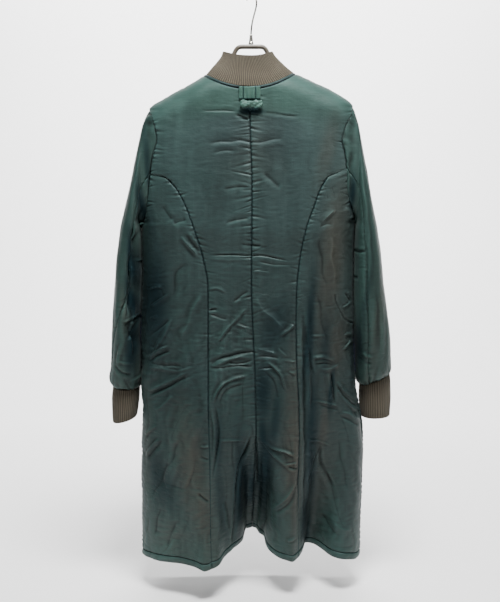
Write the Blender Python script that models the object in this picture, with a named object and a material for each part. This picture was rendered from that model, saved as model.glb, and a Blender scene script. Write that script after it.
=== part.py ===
"""Long padded coat with a knit stand collar and knit cuffs, on a plastic hanger with a wire hook.

Sizes are in millimetres. The origin is the inside top of the hook, the front faces -Y and the
wearer's left is +X. Each cloth piece is a wall: a grid of outer points, moved in by its thickness.
"""

import math

import bpy
import numpy as np

MM = 0.001
GAP = 0.3
SHELL_WALL = 3.0
KNIT_WALL = 3.0
RIB_HEIGHT = 0.9
TAPE_WALL = 0.8
POCKET_WALL = 1.0
STRAP_WALL = 2.4

SECTION_POWER = 2.6
SHOULDER_ROUNDING = 50.0
NECK_X = {"left": 90.0, "right": 84.0}
TIP_X = 203.0
FRONT_EDGE_X = 8.0
HEM_Z = -1140.0
SIDES = {"left": 1.0, "right": -1.0}

# height, half widths to the left and right, depths to the back and front
BODY = (
    (-140, 248.0, 244.0, 58.0, 58.0),
    (-230, 243.0, 238.0, 58.0, 58.0),
    (-300, 236.0, 230.0, 63.0, 66.0),
    (-380, 227.0, 220.0, 66.0, 71.0),
    (-450, 219.0, 210.0, 66.0, 72.0),
    (-520, 219.5, 208.6, 60.0, 66.0),
    (-600, 221.0, 208.9, 62.0, 68.0),
    (-660, 222.0, 210.6, 66.0, 72.0),
    (-745, 223.5, 214.5, 72.0, 78.0),
    (-812, 225.0, 223.5, 77.0, 84.0),
    (-877, 228.0, 233.5, 80.0, 88.0),
    (-985, 229.5, 235.0, 82.0, 94.0),
    (-1140, 231.3, 230.0, 82.0, 100.0),
)

# distance from the middle, height of the shoulder line
SHOULDER = {
    "left": ((0, -124.0), (88, -151.0), (109, -162.0), (135, -178.0), (167, -194.5), (191, -209.5),
             (205, -222.0)),
    "right": ((0, -124.0), (84, -148.5), (111, -161.5), (147, -177.5), (181, -194.5),
              (196, -206.5), (205, -217.5)),
}

# height, x of the centre back seam
CENTRE_SEAM = ((-178.8, 2.0), (-240, 2.0), (-370, -1.8), (-570, -1.0), (-670, -4.5), (-740, -8.3),
               (-862, -10.0), (-1140, -2.3))

# height, distance of the princess seam from the middle
PRINCESS = {
    "left": ((-354, 168.0), (-376, 147.0), (-406, 130.0), (-446, 115.0), (-481, 103.0), (-509, 96.0),
             (-536, 90.0), (-572, 85.5), (-645, 85.3), (-717, 86.0), (-840, 85.0), (-911, 82.8),
             (-1006, 81.5), (-1140, 79.1)),
    "right": ((-354, 150.0), (-371, 138.6), (-403, 126.7), (-443, 112.0), (-477, 102.6),
              (-507, 97.8), (-555, 92.2), (-596, 90.0), (-645, 89.6), (-717, 91.6), (-766, 94.2),
              (-840, 96.9), (-911, 95.6), (-1032, 96.4), (-1140, 98.2)),
}

# height, distance of the armhole seam from the middle
ARMHOLE = {
    "left": ((-220, 203.0), (-226, 201.0), (-238, 196.0), (-258, 188.5), (-280, 184.5),
             (-310, 193.0), (-346, 199.0), (-388, 204.0), (-428, 209.5), (-442, 214.0), (-450, 219.0)),
    "right": ((-215.8, 203.0), (-222.5, 201.0), (-238, 195.0), (-258, 185.0), (-283, 178.5),
              (-304, 184.0), (-336, 188.5), (-384, 191.0), (-415, 201.0), (-436, 207.5), (-450, 210.0)),
}

LOWER_LEVELS = (-1140, -1100, -1050, -1000, -950, -905, -865, -810, -750, -690, -630, -570, -510,
                -450, -436, -415, -380, -354)
# heights at the centre back, at the centre front and on the armhole
ARM_LEVELS = {
    "left": ((-341, -350, -346), (-312, -325, -310), (-284, -305, -280), (-264, -291, -256),
             (-250, -281, -238), (-242, -274, -226)),
    "right": ((-336, -350, -336), (-312, -325, -304), (-284, -305, -283), (-264, -291, -256),
              (-250, -281, -238), (-241, -274, -222.5)),
}
# heights at the centre back and front, share of the shoulder seam from the tip to the neck
SHOULDER_LEVELS = ((-234, -268, 0.0), (-216, -247, 0.33), (-197, -224, 0.67), (-178.8, -200, 1.0))

# hem of each back piece from its inner seam to its outer one: x, y, z
HEM = {
    "back_left": ((-2.3, -62, -1114), (9.7, -62, -1115), (14.0, -50, -1117), (19.2, -16, -1125),
                  (31.6, 16, -1125), (44.8, 36, -1129), (55.8, 54, -1133), (66.3, 80, -1140),
                  (79.1, 92, -1142)),
    "back_right": ((-2.3, -62, -1114), (-10, -62, -1115), (-17.5, -42, -1118), (-28.2, -30, -1122),
                   (-32.2, -12, -1131), (-39.1, 16, -1134), (-48.1, 36, -1135), (-59, 52, -1135),
                   (-72, 64, -1135), (-84.1, 70, -1136), (-98.2, 54, -1135)),
    "side_back_left": ((79.1, 92, -1142), (94.2, 94, -1146), (116.3, 80, -1143), (143.9, 66, -1142),
                       (171.7, 54, -1143), (193.5, 43, -1145), (211.8, 28, -1147),
                       (225.3, 12, -1149), (232, 0, -1149)),
    "side_back_right": ((-98.2, 54, -1135), (-104.4, 36, -1132), (-109.8, 14, -1130),
                        (-115, -9, -1127), (-124.5, -14, -1129), (-136.6, -6, -1131),
                        (-148.3, 8, -1134), (-159.6, 26, -1137), (-171.5, 40, -1138),
                        (-188, 46, -1140), (-206.6, 38, -1144), (-221.3, 20, -1149),
                        (-230, 0, -1149)),
}
# where each piece's folds start, and how fast they open and deepen below that
FOLD = {
    "back_left": (-868.0, 2.3, 1.15),
    "back_right": (-868.0, 1.6, 1.15),
    "side_back_left": (-760.0, 1.0, 1.5),
    "side_back_right": (-640.0, 1.0, 1.9),
}
# waves of the front hem, from the front edge to the side seam
FRONT_WAVE = (0.0, 0.0, -10.0, 6.0, 12.0, -4.0, 6.0, 0.0)
FRONT_WAVE_START = -760.0
FRONT_HEM_RISE = 16.0

# height and half gap of the pocket mouth in each side seam, and how far its cloth stands out
POCKET_MOUTH = {
    "left": ((-1140, 0.0), (-750, 0.0), (-690, 4.5), (-630, 5.0), (-570, 0.0), (-200, 0.0)),
    "right": ((-1140, 0.0), (-810, 0.0), (-750, 3.4), (-690, 5.0), (-630, 0.0), (-200, 0.0)),
}
POCKET_SPAN = {"left": (-604.0, -712.0, 8.0), "right": (-664.0, -752.0, 3.0)}

# rings of each sleeve: outer x and z, inner x and z, half depth, middle y
SLEEVE = {
    "left": ((211.0, -238, 221.0, -456, 44, -1), (221.5, -274, 221.5, -463, 52, -3),
             (232.0, -321, 221.8, -471, 60, -5), (243.0, -370, 222.0, -484, 66, -6),
             (252.5, -415, 222.3, -500, 70, -8), (261.5, -456, 222.8, -522, 73, -9),
             (269.0, -505, 223.2, -553, 75, -10), (275.0, -560, 226.0, -591, 75, -12),
             (280.5, -615, 231.0, -636, 74, -14), (285.5, -665, 231.4, -680, 71, -17),
             (289.0, -712, 228.8, -722, 67, -20), (293.0, -748, 227.6, -755, 63, -23),
             (296.5, -767, 227.6, -774, 59, -25), (293.0, -780, 229.6, -785, 52, -25),
             (289.0, -785, 234.0, -788, 45, -25)),
    "right": ((210.5, -236, 212.0, -456, 44, -1), (218.5, -273, 212.0, -463, 52, -3),
              (228.0, -321, 211.5, -471, 60, -5), (238.0, -370, 211.0, -484, 66, -6),
              (247.0, -415, 210.5, -500, 70, -8), (255.5, -456, 210.3, -522, 73, -9),
              (263.0, -505, 210.3, -553, 75, -10), (269.0, -560, 210.5, -591, 75, -12),
              (277.5, -615, 212.4, -636, 74, -14), (284.5, -665, 215.4, -687, 71, -17),
              (288.5, -703, 217.4, -727, 67, -20), (290.5, -731, 218.8, -757, 63, -23),
              (292.0, -746, 220.8, -771, 58, -25), (291.5, -752, 223.6, -778, 51, -25),
              (289.5, -755, 228.0, -782, 45, -25)),
}
SLEEVE_POWER = 2.3
# share of the way from the outer line to the inner one at which the back sleeve seam lies
SLEEVE_SEAM = {
    "left": (0.56, 0.57, 0.59, 0.61, 0.63, 0.65, 0.66, 0.66, 0.6, 0.45, 0.3, 0.22, 0.2, 0.2, 0.2, 0.2),
    "right": (0.56, 0.56, 0.56, 0.57, 0.58, 0.6, 0.6, 0.61, 0.62, 0.62, 0.63, 0.64, 0.64, 0.64, 0.64,
              0.64),
}
SEAM_NODE = 6

# rings of each cuff: outer x and z, inner x and z, half depth
CUFF = {
    "left": ((288.6, -786.2, 234.4, -789.2, 44.4), (291.0, -810, 235.0, -808, 45),
             (291.5, -836, 237.5, -829, 45), (290.0, -862, 241.0, -851, 43)),
    "right": ((289.1, -756.2, 228.4, -783.2, 44.4), (292.0, -782, 227.5, -803, 45),
              (293.0, -815, 228.5, -826, 45), (291.5, -847, 231.0, -850, 43)),
}
CUFF_Y = -25.0
CUFF_RIBS = 34

# rings of the collar above its foot: half widths left and right, depths back and front, heights at
# the back, side and front, and squareness in plan
COLLAR = (
    (76.5, 70.5, 54.5, 56.0, -165.0, -139.5, -188.0, 0.74),
    (65.0, 57.0, 48.0, 52.5, -149.0, -127.0, -175.0, 0.82),
    (58.5, 47.0, 44.0, 49.0, -134.0, -116.0, -162.0, 0.9),
    (56.0, 42.0, 41.0, 46.0, -119.0, -107.5, -150.0, 0.92),
)
COLLAR_RIBS = 70
COLLAR_RISE = 1.2
COLLAR_GAP_ANGLE = 0.007

STRAP = {"x": (-18.2, 23.3), "z": (-180.6, -204.6)}
ROLL = {"x": (-22.5, 21.4), "z": -214.6, "half_height": 8.3, "half_depth": 4.6, "sides": 12}

# slider, its bridge and the pull tab
TAPE_X = (1.0, 18.0)
TAPE_Z = (-1112.0, -202.0)
SLIDER = {"half_width": 6.0, "top": -204.0, "bottom": -226.0, "front_plate": 2.2, "back_plate": 1.8}
PULL_PIN = (0.0, -58.0, -216.0)
PULL = {"pin_radius": 0.8, "arm_in": 2.0, "arm_out": 3.4, "window": 9.6, "length": 30.0, "half": 4.0}

HANGER_RADIUS = 4.5
ARM_LINE = ((0.0, -98.2), (20.0, -98.2), (25.5, -100.0), (30.0, -105.0), (34.5, -114.0),
            (46.0, -129.0), (60.0, -141.5), (74.0, -153.0), (92.0, -165.0), (110.0, -175.4),
            (150.0, -199.4), (186.0, -221.0))
HOOK_RADIUS = 19.4
WIRE_RADIUS = 1.7
HOOK_TURN = math.radians(57.0)
STEM = ((0.0, -74.6), (0.6, -68.0), (2.6, -58.0), (6.2, -48.0), (10.8, -39.0), (15.2, -31.0),
        (18.1, -25.0))

TEAL = (0.040, 0.078, 0.080)
NAVY = (0.012, 0.018, 0.045)
TAUPE = (0.150, 0.130, 0.108)
GREEN = (0.045, 0.115, 0.090)
BLACK = (0.015, 0.015, 0.016)
PLASTIC = (0.110, 0.100, 0.085)
STEEL = (0.62, 0.62, 0.60)


def ease(table, value, column=1):
    """Read a table at a value of its first column, as a smooth curve that never overshoots."""
    rows = np.array(sorted(table, key=lambda row: row[0]), float)
    xs = rows[:, 0]
    ys = rows[:, column]
    steps = np.diff(xs)
    slopes = np.diff(ys) / steps
    tangents = np.empty(len(xs))
    tangents[0] = slopes[0]
    tangents[-1] = slopes[-1]
    product = slopes[1:] * slopes[:-1]
    total = slopes[1:] + slopes[:-1]
    safe = np.where(product > 0, total, 1.0)
    tangents[1:-1] = np.where(product > 0, 2 * product / safe, 0.0)
    x = min(max(value, xs[0]), xs[-1])
    i = min(max(int(np.searchsorted(xs, x)) - 1, 0), len(steps) - 1)
    t = (x - xs[i]) / steps[i]
    start = ys[i] * (1 + 2 * t) * (1 - t) ** 2 + steps[i] * tangents[i] * t * (1 - t) ** 2
    end = ys[i + 1] * t * t * (3 - 2 * t) + steps[i] * tangents[i + 1] * t * t * (t - 1)
    return float(start + end)


def by_share(rows, share):
    """Read a list of points at a share of the way along it, as a smooth curve."""
    places = np.linspace(0.0, 1.0, len(rows))
    width = len(rows[0])
    table = [(place, *row) for place, row in zip(places, rows)]
    return np.array([ease(table, share, k + 1) for k in range(width)])


def half_width(side, z):
    return ease(BODY, z, 1 if side == "left" else 2)


def shoulder_z(side, x):
    return ease(SHOULDER[side], abs(x))


def body_y(side, face, x, z):
    """Depth of the body's surface at a place in front view."""
    across = min(abs(x) / half_width(side, z), 1.0)
    bulge = (1.0 - across ** SECTION_POWER) ** (1.0 / SECTION_POWER)
    drop = max(shoulder_z(side, x) - z, 0.0)
    if drop < SHOULDER_ROUNDING:
        bulge *= math.sqrt(1.0 - (1.0 - drop / SHOULDER_ROUNDING) ** 2)
    if face == "back":
        return ease(BODY, z, 3) * bulge
    return -ease(BODY, z, 4) * bulge


def armhole_x(side, z):
    return SIDES[side] * ease(ARMHOLE[side], z)


def princess_x(side, z):
    return SIDES[side] * ease(PRINCESS[side], z)


def shoulder_point(side, share):
    x = TIP_X + (NECK_X[side] - TIP_X) * share
    return SIDES[side] * x, shoulder_z(side, x)


def side_x(side, z):
    """Outer edge of the side pieces: the side seam, and the armhole above it."""
    if z > -450.0:
        return armhole_x(side, z)
    return SIDES[side] * half_width(side, z)


def fold_amount(name, z):
    """How far a piece's folds have opened and deepened at a height, from 0 to 1."""
    top, open_power, deep_power = FOLD[name]
    fall = min(max((top - z) / (top - HEM_Z), 0.0), 1.0)
    return 1.0 - (1.0 - fall) ** open_power, fall ** deep_power


def fold_shift(name, share, z, start):
    """How far a back piece's folds move a point whose unfolded hem place is start."""
    aim = by_share(HEM[name], share) - start
    wide, deep = fold_amount(name, z)
    if name.startswith("back"):
        side_wide, side_deep = fold_amount("side_" + name, z)
        pull = share ** 8
        wide += (side_wide - wide) * pull
        deep += (side_deep - deep) * pull
    return np.array([aim[0] * wide, aim[1] * deep, aim[2] * deep])


def centre_back_rows(side):
    """Heights at the centre and the end point of each row of a centre back piece."""
    rows = [(z, princess_x(side, z), z, 0.0) for z in LOWER_LEVELS]
    rows += [(row[0], armhole_x(side, row[2]), row[2], 0.0) for row in ARM_LEVELS[side]]
    rows += [(row[0], *shoulder_point(side, row[2]), row[2]) for row in SHOULDER_LEVELS]
    return rows


def row_point(side, face, start, end, share, neck):
    """Point of a row between two ends; rows bend up toward the neck as neck goes to 1."""
    u = share + neck * (math.sin(share * math.pi / 2) - share)
    x = start[0] + (end[0] - start[0]) * u
    z = start[1] + (end[1] - start[1]) * u ** (1.0 + 1.2 * neck)
    return np.array([x, body_y(side, face, x, z), z])


def back_panel(side):
    name = "back_" + side
    count = len(HEM[name])
    shares = np.linspace(0.0, 1.0, count)
    hem = [row_point(side, "back", (ease(CENTRE_SEAM, HEM_Z), HEM_Z),
                     (princess_x(side, HEM_Z), HEM_Z), s, 0.0) for s in shares]
    grid = []
    for centre_z, end_x, end_z, neck in centre_back_rows(side):
        start = (ease(CENTRE_SEAM, centre_z), centre_z)
        row = [row_point(side, "back", start, (end_x, end_z), s, neck) for s in shares]
        row = [p + fold_shift(name, s, p[2], h) for p, s, h in zip(row, shares, hem)]
        grid.append(row)
    return np.array(grid)


def angle_at(side, x, z):
    across = min(abs(x) / half_width(side, z), 1.0)
    return math.acos(across ** (SECTION_POWER / 2))


def wrap_point(side, face, start, end, share):
    """Point of a row that runs round the body's side, evenly in angle."""
    z = start[1] + (end[1] - start[1]) * share
    first = angle_at(side, *start)
    last = angle_at(side, *end)
    angle = first + (last - first) * share
    x = SIDES[side] * half_width(side, z) * abs(math.cos(angle)) ** (2 / SECTION_POWER)
    return np.array([x, body_y(side, face, x, z), z])


def side_back_panel(side):
    name = "side_back_" + side
    shares = np.linspace(0.0, 1.0, len(HEM[name]))
    grid = []
    hem = None
    for z in LOWER_LEVELS:
        end_z = ARM_LEVELS[side][0][2] if z == LOWER_LEVELS[-1] else z
        start = (princess_x(side, z), z)
        end = (side_x(side, end_z), end_z)
        row = [wrap_point(side, "back", start, end, s) for s in shares]
        if hem is None:
            hem = [p.copy() for p in row]
        row = [p + fold_shift(name, s, p[2], h) for p, s, h in zip(row, shares, hem)]
        row[-1][1] += np.interp(z, *np.array(sorted(POCKET_MOUTH[side])).T)
        grid.append(row)
    return np.array(grid)


def front_fall(z):
    """How far a height lies below the start of the front's waves, from 0 to 1 at the hem."""
    return min(max((FRONT_WAVE_START - z) / (FRONT_WAVE_START - HEM_Z), 0.0), 1.0)


def front_rows(side):
    """Height at the front edge and end point of each row; the hem rises to the front edge."""
    rows = [(z + FRONT_HEM_RISE * front_fall(z) ** 3, side_x(side, z), z, 0.0)
            for z in LOWER_LEVELS[:-1]]
    rows += [(row[1], armhole_x(side, row[2]), row[2], 0.0) for row in ARM_LEVELS[side]]
    rows += [(row[1], *shoulder_point(side, row[2]), row[2]) for row in SHOULDER_LEVELS]
    return rows


def front_panel(side):
    shares = np.linspace(0.0, 1.0, len(FRONT_WAVE))
    edge_x = SIDES[side] * FRONT_EDGE_X
    grid = []
    for centre_z, end_x, end_z, neck in front_rows(side):
        start = (edge_x, centre_z)
        on_arm = neck == 0.0 and end_z < shoulder_z(side, TIP_X)
        if on_arm:
            row = [wrap_point(side, "front", start, (end_x, end_z), s) for s in shares]
        else:
            first = angle_at(side, edge_x, centre_z)
            last = angle_at(side, end_x, end_z)
            ways = [(math.cos(first + (last - first) * s)) ** (2 / SECTION_POWER) for s in shares]
            ways = [(way - ways[0]) / (ways[-1] - ways[0]) for way in ways]
            row = []
            for s, way in zip(shares, ways):
                u = way + neck * (math.sin(s * math.pi / 2) - way)
                x = edge_x + (end_x - edge_x) * u
                z = centre_z + (end_z - centre_z) * u ** (1.0 + 1.2 * neck)
                row.append(np.array([x, body_y(side, "front", x, z), z]))
        name = "side_back_" + side
        seam = fold_shift(name, 1.0, end_z, np.array([side_x(side, HEM_Z), 0.0, HEM_Z]))
        for point, wave, s in zip(row, FRONT_WAVE, shares):
            point[1] -= wave * front_fall(end_z) ** 1.4
            point += seam * s ** 2
        row[-1][1] -= np.interp(end_z, *np.array(sorted(POCKET_MOUTH[side])).T)
        grid.append(row)
    return np.array(grid)


def armhole_nodes(side):
    """Armhole seam from the shoulder tip to the armpit, down the back or the front."""
    levels = [row[2] for row in reversed(ARM_LEVELS[side])]
    levels += [z for z in reversed(LOWER_LEVELS[:-1]) if z >= -450]
    nodes = {}
    for face in ("back", "front"):
        points = [np.array([SIDES[side] * TIP_X, 0.0, shoulder_z(side, TIP_X)])]
        for z in levels:
            x = side_x(side, z)
            points.append(np.array([x, body_y(side, face, x, z), z]))
        nodes[face] = points
    return nodes


def oval(power, angle):
    c = math.cos(angle)
    s = math.sin(angle)
    return math.copysign(abs(c) ** (2 / power), c), math.copysign(abs(s) ** (2 / power), s)


def sleeve_rings(side):
    """Rings of a whole sleeve, each from the outer line round the back to the front and again."""
    nodes = armhole_nodes(side)
    back = nodes["back"]
    front = nodes["front"]
    loop = back + front[-2:0:-1]
    half = len(back) - 1
    lengths = [np.linalg.norm(back[i + 1] - back[i]) for i in range(half)]
    shares = np.concatenate([[0.0], np.cumsum(lengths)]) / sum(lengths)
    rings = [loop]
    total = len(SLEEVE[side])
    for k, (outer_x, outer_z, inner_x, inner_z, depth, middle_y) in enumerate(SLEEVE[side]):
        seam = SLEEVE_SEAM[side][k + 1]
        first_seam = shares[SEAM_NODE]
        way = (k + 1) / total
        ring = []
        for j in range(2 * half):
            i = j if j <= half else 2 * half - j
            even = i / half
            share = shares[i] + (even - shares[i]) * min(1.0, way * 2)
            on_back = j <= half
            if on_back:
                pivot = first_seam + (SEAM_NODE / half - first_seam) * min(1.0, way * 2)
                if i <= SEAM_NODE:
                    share = share * seam / pivot
                else:
                    share = seam + (share - pivot) * (1 - seam) / (1 - pivot)
            c, s = oval(SLEEVE_POWER, share * math.pi)
            x = (outer_x + inner_x) / 2 + (outer_x - inner_x) / 2 * c
            z = (outer_z + inner_z) / 2 + (outer_z - inner_z) / 2 * c
            y = middle_y + (depth * s if on_back else -depth * s)
            ring.append(np.array([SIDES[side] * x, y, z]))
        rings.append(ring)
    return np.array(rings)


def neck_line():
    """Neck edge of the body, round from the right front over the back to the left front."""
    right = list(front_panel("right")[-1]) + list(back_panel("right")[-1][-2::-1])
    left = list(back_panel("left")[-1][1:]) + list(front_panel("left")[-1][-2::-1])
    ends = [p * np.array([0.2, 1.0, 1.0]) for p in (right[0], left[-1])]
    return np.array([ends[0], *right, *left, ends[1]])


def round_share(x, y, wide, deep):
    """Place round the neck from the centre front, 0, over the right side to 1."""
    return (math.atan2(x / wide, -y / deep) / (2 * math.pi)) % 1.0


def collar_grid():
    count = COLLAR_RIBS * 2
    spread = np.linspace(COLLAR_GAP_ANGLE, 1 - COLLAR_GAP_ANGLE, count + 1)
    edge = neck_line()
    places = [round_share(-p[0], p[1], NECK_X["left" if p[0] > 0 else "right"], 58.0) for p in edge]
    base = [[np.interp(s, places, edge[:, k]) for k in range(3)] for s in spread]
    grid = [[np.array(p) + np.array([0.0, 0.0, COLLAR_RISE]) for p in base]]
    for left, right, back, front, z_back, z_side, z_front, square in COLLAR:
        row = []
        for share in spread:
            angle = -math.pi / 2 - share * 2 * math.pi
            x = math.cos(angle)
            y = math.sin(angle)
            wide = left if x > 0 else right
            deep = back if y > 0 else front
            z_end = z_back if y > 0 else z_front
            lift = abs(x) ** 2.2
            z = z_end + (z_side - z_end) * lift
            px = math.copysign(wide * abs(x) ** square, x)
            py = math.copysign(deep * abs(y) ** square, y)
            row.append(np.array([px, py, z]))
        grid.append(row)
    return np.array(grid)


def cuff_grid(side):
    count = CUFF_RIBS * 2
    grid = []
    for outer_x, outer_z, inner_x, inner_z, depth in CUFF[side]:
        row = []
        for i in range(count):
            c, s = oval(2.2, 2 * math.pi * i / count)
            x = (outer_x + inner_x) / 2 + (outer_x - inner_x) / 2 * c
            z = (outer_z + inner_z) / 2 + (outer_z - inner_z) / 2 * c
            row.append(np.array([SIDES[side] * x, CUFF_Y + depth * s, z]))
        grid.append(row)
    return np.array(grid)


def pocket_grid(side):
    top, bottom, stand = POCKET_SPAN[side]
    mouth = np.array(sorted(POCKET_MOUTH[side])).T
    grid = []
    for z in np.linspace(bottom, top, 8):
        half = float(np.interp(z, *mouth)) - 0.7
        swell = math.sin(math.pi * (z - bottom) / (top - bottom))
        reach = 2.0 + (stand - 2.0) * (0.35 + 0.65 * swell)
        row = []
        for angle in np.linspace(-math.pi / 2, math.pi / 2, 7):
            out = -8.0 + (reach + 8.0) * math.cos(angle) ** 0.7
            x = SIDES[side] * (half_width(side, z) + out)
            row.append(np.array([x, half * math.sin(angle), z]))
        grid.append(row)
    return np.array(grid)


def strap_grid():
    grid = []
    for z in np.linspace(STRAP["z"][1], STRAP["z"][0], 5):
        row = []
        for x in np.linspace(*STRAP["x"], 7):
            side = "left" if x > 0 else "right"
            puff = 0.8 * math.cos((x - 2.5) / 20.0 * math.pi / 2)
            y = body_y(side, "back", x, z) + 0.7 + STRAP_WALL + puff
            row.append(np.array([x, y, z]))
        grid.append(row)
    return np.array(grid)


def roll_grid():
    """Rings of the rolled loop, along X."""
    grid = []
    for share in np.linspace(0.0, 1.0, 8):
        x = ROLL["x"][0] + (ROLL["x"][1] - ROLL["x"][0]) * share
        swell = 0.82 + 0.18 * math.sin(math.pi * share) + 0.05 * math.cos(7 * share * math.pi)
        droop = 1.6 * math.sin(math.pi * share)
        row = []
        for i in range(ROLL["sides"]):
            angle = 2 * math.pi * i / ROLL["sides"]
            high = ROLL["half_height"] * swell * math.cos(angle)
            deep = ROLL["half_depth"] * swell * math.sin(angle)
            y = body_y("left", "back", abs(x), ROLL["z"]) + 0.9 + ROLL["half_depth"] + deep
            row.append(np.array([x, y, ROLL["z"] - droop + high]))
        grid.append(row)
    return np.array(grid)


def build_roll(collection):
    """Rolled loop of cloth below the strap, closed at both ends."""
    grid = roll_grid()
    rings, sides = grid.shape[:2]
    faces = []
    for i in range(rings - 1):
        for j in range(sides):
            k = (j + 1) % sides
            faces.append((i * sides + j, i * sides + k, (i + 1) * sides + k, (i + 1) * sides + j))
    faces.append(tuple(range(sides))[::-1])
    faces.append(tuple(range((rings - 1) * sides, rings * sides)))
    mesh = bpy.data.meshes.new("neck_roll")
    mesh.from_pydata([tuple(p) for p in grid.reshape(-1, 3) * MM], [], [f[::-1] for f in faces])
    mesh.shade_smooth()
    mesh.set_sharp_from_angle(angle=math.radians(50))
    obj = bpy.data.objects.new("neck_roll", mesh)
    finish(obj, GREEN, 0.55, 0.0, collection)


def tape_grid(side):
    levels = [z for z in LOWER_LEVELS if z > TAPE_Z[0]]
    levels += [row[1] for row in ARM_LEVELS[side]] + [row[1] for row in SHOULDER_LEVELS[:-1]]
    levels = sorted({TAPE_Z[0], TAPE_Z[1], *levels})
    grid = []
    for z in levels:
        row = []
        for x in (TAPE_X[0], FRONT_EDGE_X, TAPE_X[1]):
            y = body_y(side, "front", FRONT_EDGE_X, z) + SHELL_WALL + 0.8
            row.append(np.array([SIDES[side] * x, y, z]))
        grid.append(row)
    return np.array(grid)


def outward(grid, guide, wrap):
    """Unit normals at the grid's points, on the side that guide names."""
    along = np.empty_like(grid)
    along[1:-1] = grid[2:] - grid[:-2]
    along[0] = grid[1] - grid[0]
    along[-1] = grid[-1] - grid[-2]
    across = np.empty_like(grid)
    if wrap:
        across = np.roll(grid, -1, axis=1) - np.roll(grid, 1, axis=1)
    else:
        across[:, 1:-1] = grid[:, 2:] - grid[:, :-2]
        across[:, 0] = grid[:, 1] - grid[:, 0]
        across[:, -1] = grid[:, -1] - grid[:, -2]
    normals = np.cross(across, along)
    normals /= np.maximum(np.linalg.norm(normals, axis=2, keepdims=True), 1e-9)
    return normals * guide


def join_normals(pieces):
    """Give pieces that share a seam point one normal there, so that their edges stay parallel."""
    seen = {}
    for piece in pieces:
        for index in np.ndindex(piece["grid"].shape[:2]):
            key = tuple(np.round(piece["grid"][index], 2))
            seen.setdefault(key, []).append((piece, index))
    for users in seen.values():
        if len(users) < 2:
            continue
        normals = [piece["normals"][index].copy() for piece, index in users]
        for (piece, index), own in zip(users, normals):
            total = sum(n for n in normals if float(n @ own) > 0.1)
            piece["joined"][index] = total / np.linalg.norm(total)


def pulled(grid, gaps, wrap):
    """Draw the edges of a grid back from its seams: first row, last row, first and last column."""
    out = grid.copy()
    moves = ((0, 1, gaps[0]), (-1, -2, gaps[1]))
    for edge, inner, gap in moves:
        step = grid[inner] - grid[edge]
        length = np.maximum(np.linalg.norm(step, axis=1, keepdims=True), 1e-9)
        out[edge] += step / length * gap
    if not wrap:
        for edge, inner, gap in ((0, 1, gaps[2]), (-1, -2, gaps[3])):
            step = grid[:, inner] - grid[:, edge]
            length = np.maximum(np.linalg.norm(step, axis=1, keepdims=True), 1e-9)
            out[:, edge] += step / length * gap
    return out


def sewn(name, grid, guide, gaps, wall=SHELL_WALL, wrap=False, color=TEAL, ribs=0.0):
    normals = outward(grid, guide, wrap)
    return {"name": name, "grid": grid, "normals": normals, "joined": normals.copy(), "gaps": gaps,
            "wall": wall, "wrap": wrap, "color": color, "ribs": ribs, "guide": guide}


def higher(first, second):
    return tuple(first[::-1]) > tuple(second[::-1])


def rim_faces(a, b, size, from_first):
    """Two triangles of an edge, split alike on both pieces that meet there."""
    if from_first:
        return [(a, size + a, size + b), (a, size + b, b)]
    return [(a, size + a, b), (b, size + a, size + b)]


def split_quad(corners, places):
    """Split a quad along its shorter diagonal, so that both sides of a wall are split alike."""
    a, b, c, d = places
    if np.linalg.norm(corners[0] - corners[2]) <= np.linalg.norm(corners[1] - corners[3]):
        return [(a, b, c), (a, c, d)]
    return [(a, b, d), (b, c, d)]


def build_wall(piece, collection):
    """Close a grid of outer points with its inner points into one solid."""
    outer = pulled(piece["grid"], piece["gaps"], piece["wrap"])
    tilt = np.sum(piece["joined"] * piece["normals"], axis=2, keepdims=True)
    inner = outer - piece["joined"] * piece["wall"] / np.clip(tilt, 0.7, 1.0)
    rows, columns = outer.shape[:2]
    if piece["ribs"]:
        raised = np.zeros((rows, columns, 1))
        raised[:, 1::2] = piece["ribs"]
        raised[0] *= 0.2
        outer = outer + piece["normals"] * raised
    verts = np.concatenate([outer.reshape(-1, 3), inner.reshape(-1, 3)]) * MM
    size = rows * columns
    faces = []
    last = columns if piece["wrap"] else columns - 1
    for i in range(rows - 1):
        for j in range(last):
            k = (j + 1) % columns
            corners = (outer[i, j], outer[i, k], outer[i + 1, k], outer[i + 1, j])
            places = (i * columns + j, i * columns + k, (i + 1) * columns + k, (i + 1) * columns + j)
            for triangle in split_quad(corners, places):
                faces.append(triangle)
                faces.append(tuple(size + place for place in triangle[::-1]))
    rims = []
    for i, low in ((0, True), (rows - 1, False)):
        for j in range(last):
            a, b = i * columns + j, i * columns + (j + 1) % columns
            rims.append((a, b) if low else (b, a))
    if not piece["wrap"]:
        for j, low in ((0, True), (columns - 1, False)):
            for i in range(rows - 1):
                a, b = i * columns + j, (i + 1) * columns + j
                rims.append((b, a) if low else (a, b))
    places = np.round(piece["grid"].reshape(-1, 3), 2)
    for a, b in rims:
        faces += rim_faces(a, b, size, higher(places[a], places[b]))
    if piece["guide"] < 0:
        faces = [face[::-1] for face in faces]
    mesh = bpy.data.meshes.new(piece["name"])
    mesh.from_pydata([tuple(v) for v in verts], [], faces)
    mesh.update()
    mesh.shade_smooth()
    mesh.set_sharp_from_angle(angle=math.radians(50))
    obj = bpy.data.objects.new(piece["name"], mesh)
    finish(obj, piece["color"], 0.55 if piece["color"] != TAUPE else 0.95, 0.0, collection)
    return obj


def finish(obj, color, roughness, metallic, collection):
    """Give an object its material and its place in the coat's collection."""
    material = bpy.data.materials.new(obj.name)
    material.use_nodes = True
    shader = material.node_tree.nodes["Principled BSDF"]
    shader.inputs["Base Color"].default_value = (*color, 1.0)
    shader.inputs["Roughness"].default_value = roughness
    shader.inputs["Metallic"].default_value = metallic
    obj.data.materials.clear()
    obj.data.materials.append(material)
    for owner in list(obj.users_collection):
        owner.objects.unlink(obj)
    collection.objects.link(obj)


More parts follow.
